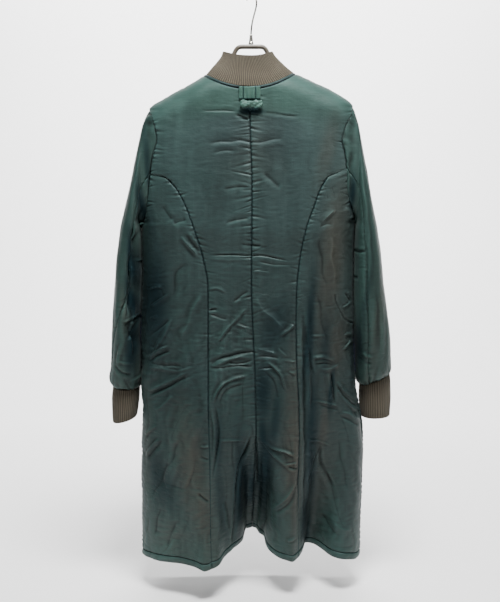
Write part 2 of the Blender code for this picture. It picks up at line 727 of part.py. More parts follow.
def box(name, low, high):
    """Box between two corners, in millimetres."""
    low = np.array(low)
    high = np.array(high)
    bpy.ops.mesh.primitive_cube_add(size=1.0, location=tuple((low + high) / 2 * MM))
    obj = bpy.context.object
    obj.name = name
    obj.scale = tuple((high - low) * MM)
    bpy.ops.object.transform_apply(location=False, rotation=False, scale=True)
    return obj


def unite(base, others):
    """Join solids that overlap into the first one."""
    for other in others:
        modifier = base.modifiers.new("union", "BOOLEAN")
        modifier.operation = "UNION"
        modifier.object = other
        bpy.context.view_layer.objects.active = base
        bpy.ops.object.modifier_apply(modifier=modifier.name)
        bpy.data.objects.remove(other)
    return base


def build_slider(collection):
    face = -body_front_y() - SHELL_WALL - 0.8
    outer = -face - 0.4
    inner = -face + TAPE_WALL + 0.4
    half = SLIDER["half_width"]
    top = SLIDER["top"]
    bottom = SLIDER["bottom"]
    front = outer - SLIDER["front_plate"]
    back = inner + SLIDER["back_plate"]
    body = box("zip_slider", (-half, front, bottom), (half, outer, top))
    pieces = [box("rear", (-half, inner, bottom), (half, back, top)),
              box("post", (-0.55, front + 0.5, top - 8), (0.55, back - 0.5, top - 2)),
              box("foot", (-1.2, front - 3.6, top - 5.6), (1.2, front + 0.5, top - 4)),
              box("foot", (-1.2, front - 3.6, top - 15), (1.2, front + 0.5, top - 13.4)),
              box("bridge", (-1.2, front - 3.6, top - 15), (1.2, front - 2.4, top - 4))]
    unite(body, pieces)
    finish(body, STEEL, 0.35, 1.0, collection)


def body_front_y():
    return body_y("left", "front", FRONT_EDGE_X, SLIDER["top"] - 10)


def build_pull(collection):
    pin_y = PULL_PIN[1]
    pin_z = PULL_PIN[2]
    radius = PULL["pin_radius"]
    plate = box("zip_pull", (-PULL["half"], pin_y - radius, pin_z - PULL["length"]),
                (PULL["half"], pin_y + radius, pin_z - PULL["window"]))
    arms = []
    for sign in (-1, 1):
        ends = sorted((sign * PULL["arm_in"], sign * PULL["arm_out"]))
        arms.append(box("arm", (ends[0], pin_y - radius, pin_z - PULL["window"] - 1),
                        (ends[1], pin_y + radius, pin_z + radius * 0.6)))
    bpy.ops.mesh.primitive_cylinder_add(vertices=12, radius=radius * 0.98 * MM,
                                        depth=2 * (PULL["arm_out"] - 0.3) * MM,
                                        location=(0, pin_y * MM, pin_z * MM),
                                        rotation=(0, math.pi / 2, 0))
    pin = bpy.context.object
    bpy.ops.object.transform_apply(location=False, rotation=True, scale=True)
    unite(plate, arms + [pin])
    move_origin(plate, PULL_PIN)
    finish(plate, STEEL, 0.3, 1.0, collection)


def move_origin(obj, point):
    """Put an object's origin at a point without moving its shape."""
    place = np.array(point) * MM
    shift = place - np.array(obj.location)
    for vertex in obj.data.vertices:
        vertex.co = tuple(np.array(vertex.co) - shift)
    obj.location = tuple(place)


def build_box(collection):
    y = body_y("left", "front", FRONT_EDGE_X, TAPE_Z[0]) + SHELL_WALL + 0.8
    obj = box("zip_box", (-5.0, y - 1.2, TAPE_Z[0] - 12.0), (5.0, y + 2.0, TAPE_Z[0] - 0.6))
    finish(obj, STEEL, 0.4, 1.0, collection)


def wire(name, points, radius, resolution, collection, color, metallic, roughness):
    """Round bar along a line of points, with filled ends."""
    data = bpy.data.curves.new(name, "CURVE")
    data.dimensions = "3D"
    data.bevel_depth = radius * MM
    data.bevel_resolution = resolution
    data.use_fill_caps = True
    spline = data.splines.new("POLY")
    spline.points.add(len(points) - 1)
    for target, point in zip(spline.points, points):
        target.co = (*(c * MM for c in point), 1.0)
    obj = bpy.data.objects.new(name, data)
    finish(obj, color, roughness, metallic, collection)
    return obj


def build_hanger(collection):
    arm = [(-x, 0.0, z) for x, z in reversed(ARM_LINE[1:])] + [(x, 0.0, z) for x, z in ARM_LINE[1:]]
    wire("hanger_body", arm, HANGER_RADIUS, 2, collection, PLASTIC, 0.0, 0.45)
    bpy.ops.mesh.primitive_cone_add(vertices=20, radius1=4.8 * MM, radius2=2.7 * MM, depth=18.1 * MM,
                                    location=(0, 0, -84.25 * MM))
    ferrule = bpy.context.object
    ferrule.name = "hanger_ferrule"
    finish(ferrule, STEEL, 0.25, 1.0, collection)
    turn = (-math.cos(HOOK_TURN), math.sin(HOOK_TURN))
    line = list(STEM)
    for degree in range(-8, 151, 9):
        angle = math.radians(degree)
        line.append((HOOK_RADIUS * math.cos(angle),
                     WIRE_RADIUS - HOOK_RADIUS + HOOK_RADIUS * math.sin(angle)))
    points = [(turn[0] * out, turn[1] * out, z) for out, z in line]
    wire("hanger_hook", points, WIRE_RADIUS, 2, collection, STEEL, 1.0, 0.2)


def cloth_pieces():
    seam = GAP / 2 + 0.05
    sleeve = GAP * 1.5
    pieces = []
    for side, sign in SIDES.items():
        pieces.append(sewn("back_" + side, back_panel(side), -sign, (0, 0, seam, seam)))
        pieces.append(sewn("side_back_" + side, side_back_panel(side), -sign,
                           (0, 0.5, seam, seam)))
        pieces.append(sewn("front_" + side, front_panel(side), sign, (0, 0, 0, seam)))
        rings = sleeve_rings(side)
        half = rings.shape[1] // 2
        first = SEAM_NODE
        last = 2 * half - SEAM_NODE
        under = rings[:, first:last + 1]
        upper = np.concatenate([rings[:, last:], rings[:, :first + 1]], axis=1)
        pieces.append(sewn("upper_sleeve_" + side, upper, -sign, (sleeve, 0, seam, seam)))
        pieces.append(sewn("under_sleeve_" + side, under, -sign, (sleeve, 0, seam, seam)))
    return pieces


def trims():
    collar = sewn("collar", collar_grid(), -1, (0, 0, 0, 0), KNIT_WALL, False, TAUPE, RIB_HEIGHT)
    foot = collar["joined"][0]
    foot[:, 2] = 0.0
    foot /= np.linalg.norm(foot, axis=1, keepdims=True)
    pieces = [collar,
              sewn("neck_strap", strap_grid(), -1, (0, 0, 0, 0), STRAP_WALL, False, GREEN)]
    for side, sign in SIDES.items():
        pieces.append(sewn("cuff_" + side, cuff_grid(side), -sign, (0, 0, 0, 0), KNIT_WALL, True,
                           TAUPE, RIB_HEIGHT))
        pieces.append(sewn("pocket_" + side, pocket_grid(side), sign, (0, 0, 0, 0), POCKET_WALL,
                           False, NAVY))
        pieces.append(sewn("zip_tape_" + side, tape_grid(side), sign, (0, 0, 0, 0), TAPE_WALL,
                           False, BLACK))
    return pieces


def main():
    for obj in list(bpy.data.objects):
        bpy.data.objects.remove(obj)
    collection = bpy.data.collections.new("coat_on_hanger")
    bpy.context.scene.collection.children.link(collection)
    cloth = cloth_pieces()
    join_normals(cloth)
    for piece in cloth + trims():
        build_wall(piece, collection)
    build_roll(collection)
    build_slider(collection)
    build_pull(collection)
    build_box(collection)
    build_hanger(collection)


main()
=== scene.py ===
"""Looks of a long padded coat with a knit stand collar and knit cuffs, on a hanger, seen from behind.

Sizes are in millimetres until a mesh is made. The origin is the inside top of the hook, the coat's
front faces -Y and the wearer's left is +X. Each cloth piece is a thin shell on the form of its part:
a fine grid of outer points with creases, gathers and stitch lines, and a coarser inner side.
"""

import math

import bpy
import numpy as np
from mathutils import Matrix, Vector


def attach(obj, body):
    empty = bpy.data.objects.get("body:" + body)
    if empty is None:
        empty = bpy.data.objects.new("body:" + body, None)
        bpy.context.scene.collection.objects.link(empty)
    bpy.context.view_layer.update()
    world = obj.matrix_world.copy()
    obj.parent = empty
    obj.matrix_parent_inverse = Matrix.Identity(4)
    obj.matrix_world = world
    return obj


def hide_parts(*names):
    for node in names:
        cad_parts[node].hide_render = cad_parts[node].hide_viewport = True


MM = 0.001

# The body's squareness in plan and the height over which its shoulders round off, then places of
# the neck edge, the shoulder tips, the front edges, the armpits and the hem.
SECTION_POWER = 2.6
SHOULDER_ROUNDING = 50
NECK_X = {"left": 90, "right": 84}
NECK_DEPTH = 58
TIP_X = 203
FRONT_EDGE_X = 8
ARMPIT_Z = -450
HEM_Z = -1140
SIDES = {"left": 1.0, "right": -1.0}

# height, half widths to the left and right, depths to the back and front
BODY = (
    (-140, 248, 244, 58, 58),
    (-230, 243, 238, 58, 58),
    (-300, 236, 230, 63, 66),
    (-380, 227, 220, 66, 71),
    (-450, 219, 210, 66, 72),
    (-520, 219.5, 208.6, 60, 66),
    (-600, 221, 208.9, 62, 68),
    (-660, 222, 210.6, 66, 72),
    (-745, 223.5, 214.5, 72, 78),
    (-812, 225, 223.5, 77, 84),
    (-877, 228, 233.5, 80, 88),
    (-985, 229.5, 235, 82, 94),
    (-1140, 231.3, 230, 82, 100),
)

# distance from the middle, height of the shoulder line
SHOULDER = {
    "left": ((0, -124), (88, -151), (109, -162), (135, -178), (167, -194.5), (191, -209.5),
             (205, -222)),
    "right": ((0, -124), (84, -148.5), (111, -161.5), (147, -177.5), (181, -194.5),
              (196, -206.5), (205, -217.5)),
}

# height, x of the centre back seam
CENTRE_SEAM = ((-178.8, 2), (-240, 2), (-370, -1.8), (-570, -1), (-670, -4.5), (-740, -8.3),
               (-862, -10), (-1140, -2.3))

# height, distance of the princess seam from the middle
PRINCESS = {
    "left": ((-354, 168), (-376, 147), (-406, 130), (-446, 115), (-481, 103), (-509, 96),
             (-536, 90), (-572, 85.5), (-645, 85.3), (-717, 86), (-840, 85), (-911, 82.8),
             (-1006, 81.5), (-1140, 79.1)),
    "right": ((-354, 150), (-371, 138.6), (-403, 126.7), (-443, 112), (-477, 102.6),
              (-507, 97.8), (-555, 92.2), (-596, 90), (-645, 89.6), (-717, 91.6), (-766, 94.2),
              (-840, 96.9), (-911, 95.6), (-1032, 96.4), (-1140, 98.2)),
}

# height, distance of the armhole seam from the middle
ARMHOLE = {
    "left": ((-220, 203), (-226, 201), (-238, 196), (-258, 188.5), (-280, 184.5),
             (-310, 193), (-346, 199), (-388, 204), (-428, 209.5), (-442, 214), (-450, 219)),
    "right": ((-215.8, 203), (-222.5, 201), (-238, 195), (-258, 185), (-283, 178.5),
              (-304, 184), (-336, 188.5), (-384, 191), (-415, 201), (-436, 207.5), (-450, 210)),
}

LOWER_LEVELS = (-1140, -1100, -1050, -1000, -950, -905, -865, -810, -750, -690, -630, -570, -510,
                -450, -436, -415, -380, -354)
# heights at the centre back, at the centre front and on the armhole
ARM_LEVELS = {
    "left": ((-341, -350, -346), (-312, -325, -310), (-284, -305, -280), (-264, -291, -256),
             (-250, -281, -238), (-242, -274, -226)),
    "right": ((-336, -350, -336), (-312, -325, -304), (-284, -305, -283), (-264, -291, -256),
              (-250, -281, -238), (-241, -274, -222.5)),
}
# heights at the centre back and front, share of the shoulder seam from the tip to the neck
SHOULDER_LEVELS = ((-234, -268, 0), (-216, -247, 0.33), (-197, -224, 0.67), (-178.8, -200, 1))

# hem of each back piece from its inner seam to its outer one: x, y, z
HEM = {
    "back_left": ((-2.3, -62, -1114), (9.7, -62, -1115), (14, -50, -1117), (19.2, -16, -1125),
                  (31.6, 16, -1125), (44.8, 36, -1129), (55.8, 54, -1133), (66.3, 80, -1140),
                  (79.1, 92, -1142)),
    "back_right": ((-2.3, -62, -1114), (-10, -62, -1115), (-17.5, -42, -1118), (-28.2, -30, -1122),
                   (-32.2, -12, -1131), (-39.1, 16, -1134), (-48.1, 36, -1135), (-59, 52, -1135),
                   (-72, 64, -1135), (-84.1, 70, -1136), (-98.2, 54, -1135)),
    "side_back_left": ((79.1, 92, -1142), (94.2, 94, -1146), (116.3, 80, -1143), (143.9, 66, -1142),
                       (171.7, 54, -1143), (193.5, 43, -1145), (211.8, 28, -1147),
                       (225.3, 12, -1149), (232, 0, -1149)),
    "side_back_right": ((-98.2, 54, -1135), (-104.4, 36, -1132), (-109.8, 14, -1130),
                        (-115, -9, -1127), (-124.5, -14, -1129), (-136.6, -6, -1131),
                        (-148.3, 8, -1134), (-159.6, 26, -1137), (-171.5, 40, -1138),
                        (-188, 46, -1140), (-206.6, 38, -1144), (-221.3, 20, -1149),
                        (-230, 0, -1149)),
}
# where each piece's folds start, and how fast they open and deepen below that
FOLD = {
    "back_left": (-868, 2.3, 1.15),
    "back_right": (-868, 1.6, 1.15),
    "side_back_left": (-760, 1, 1.5),
    "side_back_right": (-640, 1, 1.9),
}
# waves of the front hem, from the front edge to the side seam
FRONT_WAVE = (0, 0, -10, 6, 12, -4, 6, 0)
FRONT_WAVE_START = -760
FRONT_HEM_RISE = 16

# height and half gap of the pocket mouth in each side seam, and how far its cloth stands out
POCKET_MOUTH = {
    "left": ((-1140, 0), (-750, 0), (-690, 4.5), (-630, 5), (-570, 0), (-200, 0)),
    "right": ((-1140, 0), (-810, 0), (-750, 3.4), (-690, 5), (-630, 0), (-200, 0)),
}
POCKET_SPAN = {"left": (-604, -712, 8), "right": (-664, -752, 3)}
POCKET_DEPTH = 8

# rings of each sleeve: outer x and z, inner x and z, half depth, middle y
SLEEVE = {
    "left": ((211, -238, 221, -456, 44, -1), (221.5, -274, 221.5, -463, 52, -3),
             (232, -321, 221.8, -471, 60, -5), (243, -370, 222, -484, 66, -6),
             (252.5, -415, 222.3, -500, 70, -8), (261.5, -456, 222.8, -522, 73, -9),
             (269, -505, 223.2, -553, 75, -10), (275, -560, 226, -591, 75, -12),
             (280.5, -615, 231, -636, 74, -14), (285.5, -665, 231.4, -680, 71, -17),
             (289, -712, 228.8, -722, 67, -20), (293, -748, 227.6, -755, 63, -23),
             (296.5, -767, 227.6, -774, 59, -25), (293, -780, 229.6, -785, 52, -25),
             (289, -785, 234, -788, 45, -25)),
    "right": ((210.5, -236, 212, -456, 44, -1), (218.5, -273, 212, -463, 52, -3),
              (228, -321, 211.5, -471, 60, -5), (238, -370, 211, -484, 66, -6),
              (247, -415, 210.5, -500, 70, -8), (255.5, -456, 210.3, -522, 73, -9),
              (263, -505, 210.3, -553, 75, -10), (269, -560, 210.5, -591, 75, -12),
              (277.5, -615, 212.4, -636, 74, -14), (284.5, -665, 215.4, -687, 71, -17),
              (288.5, -703, 217.4, -727, 67, -20), (290.5, -731, 218.8, -757, 63, -23),
              (292, -746, 220.8, -771, 58, -25), (291.5, -752, 223.6, -778, 51, -25),
              (289.5, -755, 228, -782, 45, -25)),
}
SLEEVE_POWER = 2.3
# share of the way from the outer line to the inner one at which the back sleeve seam lies
SLEEVE_SEAM = {
    "left": (0.56, 0.57, 0.59, 0.61, 0.63, 0.65, 0.66, 0.66, 0.6, 0.45, 0.3, 0.22, 0.2, 0.2, 0.2, 0.2),
    "right": (0.56, 0.56, 0.56, 0.57, 0.58, 0.6, 0.6, 0.61, 0.62, 0.62, 0.63, 0.64, 0.64, 0.64, 0.64,
              0.64),
}
SEAM_NODE = 6

# rings of each cuff: outer x and z, inner x and z, half depth
CUFF = {
    "left": ((288.6, -786.2, 234.4, -789.2, 44.4), (291, -810, 235, -808, 45),
             (291.5, -836, 237.5, -829, 45), (290, -862, 241, -851, 43)),
    "right": ((289.1, -756.2, 228.4, -783.2, 44.4), (292, -782, 227.5, -803, 45),
              (293, -815, 228.5, -826, 45), (291.5, -847, 231, -850, 43)),
}
CUFF_Y = -25
CUFF_POWER = 2.2

# rings of the collar above its foot: half widths left and right, depths back and front, heights at
# the back, side and front, and squareness in plan
COLLAR = (
    (76.5, 70.5, 54.5, 56, -165, -139.5, -188, 0.74),
    (65, 57, 48, 52.5, -149, -127, -175, 0.82),
    (58.5, 47, 44, 49, -134, -116, -162, 0.9),
    (56, 42, 41, 46, -119, -107.5, -150, 0.92),
)
# how far the collar's foot lies below the neck edge, and the share of the way round before it begins
COLLAR_FOOT = -1.2
COLLAR_GAP = 0.007
COLLAR_RIBS = 116
CUFF_RIBS = 46
RIB_POINTS = 6
RIB_HEIGHT = 1
KNIT_WALL = 3

# edges and top and foot of the strap, its wall and its gap from the back
STRAP = {"x": (-18.2, 23.3), "z": (-180.6, -204.6), "wall": 2.4, "gap": 0.7}
# gathers of the strap: x at its lower and upper end, height, half width
STRAP_GATHERS = ((-10, -15, -1.1, 1.9), (-4.5, -6, 0.9, 1.8), (0, 0.5, -1.3, 1.7), (4, 6, 0.9, 1.7),
                 (8.5, 12, -1.2, 1.8), (13, 19, 0.7, 2))
STRAP_STITCHES = (15, -8.7)
ROLL = {"x": (-22.5, 21.4), "z": -214.6, "half_height": 8.3, "half_depth": 4.6, "gap": 0.9}
ROLL_SIDES = 44
ROLL_RINGS = 80
SHELL_WALL = 3
TAPE_X = (1, 18)
TAPE_Z = (-1112, -202)
# how far the outer sides of the tapes and the middles of the teeth lie behind the fronts
TAPE_BEHIND = 0.8
TEETH_BEHIND = 1.2
# half sizes of a tooth, x of its middle, heights of the highest ones and step down to the next
TOOTH_HALF = (1.3, 0.9, 0.6)
TOOTH_X = 0.6
TOOTH_TOP = {"left": -230.5, "right": -229}
TOOTH_PITCH = 3

HANGER_RADIUS = 4.5
# distance from the middle and height of the hanger's arch and arm
ARM_LINE = ((0, -98.2), (20, -98.2), (25.5, -100), (30, -105), (34.5, -114),
            (46, -129), (60, -141.5), (74, -153), (92, -165), (110, -175.4),
            (150, -199.4), (186, -221))
# height and radius of the ferrule's rings
FERRULE = ((-93.3, 4.5), (-92.6, 4.9), (-90.6, 4.9), (-90, 4.4), (-84, 3.6), (-78, 2.9),
           (-77.4, 3), (-76, 3), (-75.2, 2.5))
# The hook: its middle line's bend and its stem, as distance from the middle and height, lie in an
# upright plane that is turned about the ferrule.
HOOK_RADIUS = 19.4
WIRE_RADIUS = 1.7
HOOK_ANGLES = [math.radians(degree) for degree in range(-8, 151, 9)]
HOOK_TURN = math.radians(57)
STEM = ((0, -74.6), (0.6, -68), (2.6, -58), (6.2, -48), (10.8, -39), (15.2, -31),
        (18.1, -25))

# width that each kind of piece's grid is spaced for, and its steps across and along; a coarse grid
# is enough for the neck edge
WIDTH = {"back": 100, "side_back": 165, "front": 230, "sleeve": 190}
CELL = {"back": (1.7, 1.5), "side_back": (1.8, 1.5), "front": (4, 3), "sleeve": (2.8, 2)}
NECK_CELL = (6, 400)
# distances of the first columns from a seam
SEAM_PLACES = (0, 0.5, 1.1, 1.9, 3, 4.6)
# extra grid rows above the hem, next to its edge and where its stitch row is
HEM_PLACES = (0.4, 0.9, 1.6, 2.4, 11.5, 12.6, 13.4, 14.2, 15, 15.8, 16.6, 17.8)
# distances of the stitch rows from the hem, from the armhole or the neck, and from the front edge
HEM_STITCH = 14.2
TOP_STITCH = 6
EDGE_STITCH = 7
# where the gap between the sleeve and the side seam ends at its top
GAP_TOP = -438

# Creases. Each row: height, above 0 for a ridge and below 0 for a trough; half width; then x and z
# of each point of the crease's line.
BACK_CREASES = (
    # centre back
    (-1.1, 3.4, 100, -226, 63, -226, 25, -228),
    (-2.2, 3, 29, -233, 15, -239, 4, -245),
    (-1, 3, -21, -228, -57, -233, -96, -237),
    (-1.2, 5.5, 87, -291, 60, -286, 35, -284, 4, -282),
    (-0.9, 4.5, 77, -308, 52, -303, 29, -302),
    (-1.2, 5.5, -6, -288, -29, -284, -65, -279),
    (-1.8, 6, -23, -342, -39, -357, -56, -378),
    (-1.6, 4.5, 56, -376, 29, -373, 0, -372),
    (-1.5, 4.5, 53, -444, 25, -436, 0, -431),
    (-1.8, 3.2, 22, -483, -2, -486, -21, -487),
    (-2, 2, 90, -506, 41, -506, -2, -507, -27, -508, -57, -514, -82, -520),
    (0.7, 4, 88, -515, 41, -515, 0, -516, -37, -519),
    (1.2, 3, -4, -537, -22, -539, -39, -540),
    (-1.2, 3, -6, -516, -37, -523, -84, -526),
    (1.8, 3.2, 85, -574, 69, -572, 49, -580),
    (-2.2, 2.6, 85, -616, 77, -613, 67, -612),
    (-1.8, 3.6, 83, -623, 65, -629, 44, -634),
    (2.6, 4.2, 2, -608, 16, -619, 36, -641, 52, -659, 72, -684),
    (-1.8, 4, 4, -576, 22, -589, 36, -600),
    (1.6, 3, 30, -643, 14, -648, -2, -652),
    (3.2, 7.5, -6, -586, -28, -618, -51, -639, -73, -656),
    (2.2, 3.2, -57, -667, -73, -657, -89, -641),
    (1.8, 3.2, -54, -689, -60, -699, -72, -708),
    (-3, 3.4, 84, -727, 70, -716, 44, -707, 16, -701, -22, -698),
    (2.6, 4, 78, -730, 58, -719, 30, -710, 2, -708),
    (-2.6, 3, 50, -718, 22, -722, -6, -714),
    (-2.2, 2.4, 84, -731, 60, -729, 34, -726, -8, -727),
    (2.4, 3.6, -10, -692, -30, -696, -52, -703),
    (-2.4, 3.2, -10, -706, -34, -708, -58, -711),
    (-2.4, 2.6, -12, -732, -28, -731, -44, -728),
    (3.4, 2.8, 75, -804, 69, -783, 57, -764, 35, -753, 4, -744),
    (-2.2, 4.5, 64, -804, 56, -783, 42, -771, 14, -761),
    (3.2, 2.8, -30, -717, -48, -731, -59, -746, -66, -765, -74, -781),
    (-2.2, 4.5, -26, -736, -42, -751, -50, -771, -56, -796),
    (1.6, 2.4, -64, -716, -78, -717, -89, -718),
    (1.6, 2.4, -74, -738, -90, -744),
    (1.2, 2.6, 64, -879, 38, -877, 10, -876),
    (-1.2, 2.6, 38, -874, 37, -909, 35, -945),
    (2.8, 3, -19, -869, -44, -893, -71, -901, -92, -915),
    (-2.6, 2.6, -75, -931, -85, -935, -95, -936),
    (2, 2.6, -69, -927, -81, -926, -93, -922),
    (2, 4, -43, -1031, -69, -1004, -94, -961),
    (-2.2, 3.4, -51, -1035, -75, -1010, -93, -980),
    (1.8, 3, -76, -1093, -93, -1082),
    (-2.6, 3.2, 74, -802, 68, -824, 65, -878, 73, -928, 77, -961),
    (2, 3, 79, -804, 75, -847, 73, -888, 76, -924),
    (-2, 4.5, 53, -1004, 49, -1035, 43, -1078),
    (-5, 3.2, -7, -848, 11, -900, 25, -937, 30, -980, 35, -1050, 39, -1088, 42, -1125),
    (2.4, 4, -12, -866, -40, -900, -70, -930, -90, -946),
    (-4, 3.4, -7, -852, -11, -900, -13, -950, -10, -1010),
    # left side back
    (2.6, 3.2, 138, -468, 120, -489, 101, -512),
    (2, 2.6, 122, -461, 110, -476, 98, -492),
    (-2.6, 3, 130, -466, 114, -485, 100, -502),
    (-2.2, 6, 153, -447, 139, -440, 126, -435),
    (-1.8, 6, 176, -410, 163, -425, 153, -439),
    (2.4, 3, 205, -576, 192, -572, 177, -572),
    (2.4, 3.6, 205, -614, 185, -599, 163, -582),
    (2, 3, 206, -637, 197, -632, 187, -629),
    (2, 3.6, 196, -708, 176, -670, 155, -629),
    (-2, 3, 207, -673, 186, -656, 163, -634),
    (2.2, 6.5, 140, -676, 119, -623, 97, -577),
    (2.8, 3.6, 213, -718, 190, -701, 164, -688),
    (-2.6, 3.6, 212, -728, 190, -711, 162, -697),
    (1.8, 3.2, 210, -733, 182, -736, 146, -738, 114, -729),
    (-2, 3.4, 210, -725, 172, -729, 134, -728),
    (-3.2, 3.6, 211, -795, 177, -777, 143, -758, 114, -743),
    (2.8, 4.6, 213, -786, 179, -769, 146, -751, 122, -738),
    (2.2, 5, 196, -825, 175, -805, 155, -788),
    (2.2, 4, 218, -879, 204, -864, 190, -854),
    (2.6, 3, 218, -924, 205, -902, 188, -878),
    (-2, 3.6, 213, -927, 199, -906, 182, -883),
    (-2.4, 3, 106, -984, 96, -994, 84, -1003),
    (-2.2, 2.6, 103, -907, 93, -914, 84, -915),
    (1.8, 2.6, 103, -889, 93, -892, 84, -890),
    (-2, 6, 203, -1093, 195, -1060, 186, -1024),
    (-1.8, 6, 175, -1110, 162, -1078, 154, -1050),
    (-3, 12, 206, -1018, 185, -965, 160, -919, 140, -873),
    (-1.8, 8, 157, -595, 144, -535, 128, -519),
    # right side back
    (1.5, 4.8, -139, -445, -152, -430, -167, -415),
    (-1.5, 5.5, -136, -453, -149, -446, -164, -445),
    (-1, 6, -142, -370, -149, -384, -153, -400),
    (-1, 6, -156, -372, -163, -385, -166, -399),
    (2.6, 9, -186, -410, -194, -425, -200, -441),
    (-3, 4.5, -108, -645, -115, -694, -123, -736, -130, -753),
    (2, 3, -119, -713, -142, -711, -172, -722),
    (2, 3, -138, -736, -154, -737, -180, -728),
    (-2.2, 3.4, -126, -725, -146, -723, -166, -730),
    (-4.2, 2.6, -161, -739, -164, -769, -169, -810),
    (2.4, 3.2, -155, -741, -158, -771, -162, -804),
    (2.8, 3.4, -172, -761, -189, -785, -205, -798, -223, -810),
    (2.4, 3.4, -173, -775, -189, -802, -206, -819, -223, -832),
    (-2.6, 3.2, -173, -769, -189, -794, -205, -809, -223, -822),
    (1.6, 2, -121, -799, -149, -806, -178, -814),
    (-0.9, 3, -134, -808, -155, -816, -182, -823),
    (1.2, 2.4, -122, -669, -136, -669, -151, -669),
    (2.2, 3, -183, -702, -193, -693, -204, -682),
    (1.8, 3, -187, -671, -195, -667, -205, -669),
    (2.2, 2.6, -183, -613, -193, -609, -202, -603),
    (-2.6, 2.6, -189, -584, -196, -595, -202, -603),
    (-2.4, 9, -135, -466, -140, -519, -150, -575),
    (-3.2, 3.6, -102, -590, -105, -700, -107, -830, -108, -950, -109, -1070),
    (2, 4.5, -112, -600, -116, -720, -118, -840),
    (2.2, 9, -157, -460, -162, -519, -170, -579),
    (-1.8, 7, -133, -575, -141, -635, -156, -696),
    (1.7, 2, -113, -876, -136, -885, -166, -900),
    (-2.6, 4.5, -141, -893, -146, -942, -159, -969, -173, -992),
    (-2.4, 3.6, -115, -973, -127, -941, -139, -902),
    (-1.8, 4, -180, -835, -202, -847, -224, -862),
    (1.8, 4, -181, -825, -204, -835, -224, -848),
    (1.8, 9, -162, -1050, -187, -1073, -212, -1084),
    (-1.6, 8, -145, -1050, -164, -1073, -189, -1095),
    (-1.6, 7, -176, -881, -189, -944, -202, -997),
)
SLEEVE_CREASES = {
    "left": (
        (2.4, 2.8, 227, -520, 221, -519, 215, -517),
        (2.8, 2.6, 255, -639, 243, -634, 229, -626),
        (-2.8, 3.2, 253, -647, 241, -641, 227, -633),
        (-9, 9, 209, -390, 222, -450, 233, -510, 237, -575, 242, -640, 241, -690, 239, -735),
        (3.6, 3.4, 232, -600, 239, -640, 243, -680, 243, -720),
        (-2.6, 2.6, 230, -631, 241, -663, 250, -680),
        (2.6, 3.2, 259, -680, 268, -708, 270, -732),
        (3, 4.5, 222, -712, 222, -741, 231, -759, 251, -763),
        (-2.6, 3.4, 276, -728, 263, -745, 241, -751),
        (2, 2.8, 268, -720, 254, -725, 240, -726),
        (-1.8, 3, 232, -565, 242, -605, 251, -639),
    ),
    "right": (
        (-2.6, 3, -207, -500, -215, -501, -226, -498),
        (-2.2, 3, -205, -527, -211, -527),
        (-2, 3, -208, -555, -215, -551),
        (1.4, 4, -214, -321, -229, -437, -239, -555),
        (-1.2, 4, -226, -456, -230, -575, -231, -665),
        (-1.2, 5, -247, -555, -255, -635, -260, -716),
        (2, 3, -226, -704, -236, -712, -246, -716),
        (-1.8, 3.2, -222, -716, -234, -724, -244, -728),
        (-2.4, 5, -196, -301, -195, -359, -195, -398),
    ),
}
FRONT_CREASES = (
    (-2, 5, 30, -300, 70, -306, 118, -322),
    (2.2, 5, 38, -352, 84, -372, 120, -410),
    (-2.2, 6, 176, -420, 150, -470, 118, -506),
    (2.4, 4, 186, -452, 158, -500, 132, -528),
    (-2.2, 3, 20, -520, 66, -514, 120, -524, 180, -516),
    (1.8, 4, 22, -534, 80, -530, 130, -540),
    (2.4, 4, 30, -610, 66, -644, 110, -690),
    (-2.4, 4, 44, -606, 80, -640, 122, -680),
    (2.6, 4, 206, -700, 160, -684, 112, -700),
    (-2.8, 3.4, 24, -716, 70, -704, 120, -714, 172, -706, 208, -716),
    (2.6, 3.6, 30, -728, 78, -718, 132, -728, 196, -732),
    (-2.4, 4.2, 40, -746, 92, -752, 150, -744),
    (3, 3, 66, -820, 74, -786, 104, -762, 142, -752),
    (2.6, 4.6, 210, -784, 170, -800, 132, -840),
    (-2.4, 5, 214, -800, 176, -818, 140, -858),
    (-2.8, 8, 92, -860, 84, -960, 78, -1080),
    (2.4, 9, 132, -880, 140, -980, 146, -1090),
    (-2.4, 8, 180, -900, 186, -1000, 190, -1100),
    (1.8, 4, 30, -930, 62, -960, 80, -1000),
)
SLEEVE_FRONT_CREASES = (
    (-2, 5, 214, -330, 236, -420, 246, -520),
    (-2.6, 3.6, 222, -560, 246, -548, 268, -552),
    (2.4, 3.6, 226, -578, 250, -566, 272, -572),
    (-3, 4, 228, -622, 252, -606, 276, -612),
    (2.6, 3.6, 230, -640, 256, -626, 280, -636),
    (-2.4, 4.4, 240, -700, 262, -690, 284, -706),
    (2.4, 4, 236, -726, 260, -716, 282, -730),
    (-2.2, 3.4, 238, -752, 262, -746, 286, -754),
)
# curved stitching of each pocket bag: x and z of its points, from the side seam round to it again
POCKET_STITCH = {
    "left": (207, -574, 196, -571, 186, -571, 179, -577, 176, -588),
    "right": (-168, -588, -170, -601, -177, -615, -184, -629, -192, -639, -206, -647),
}

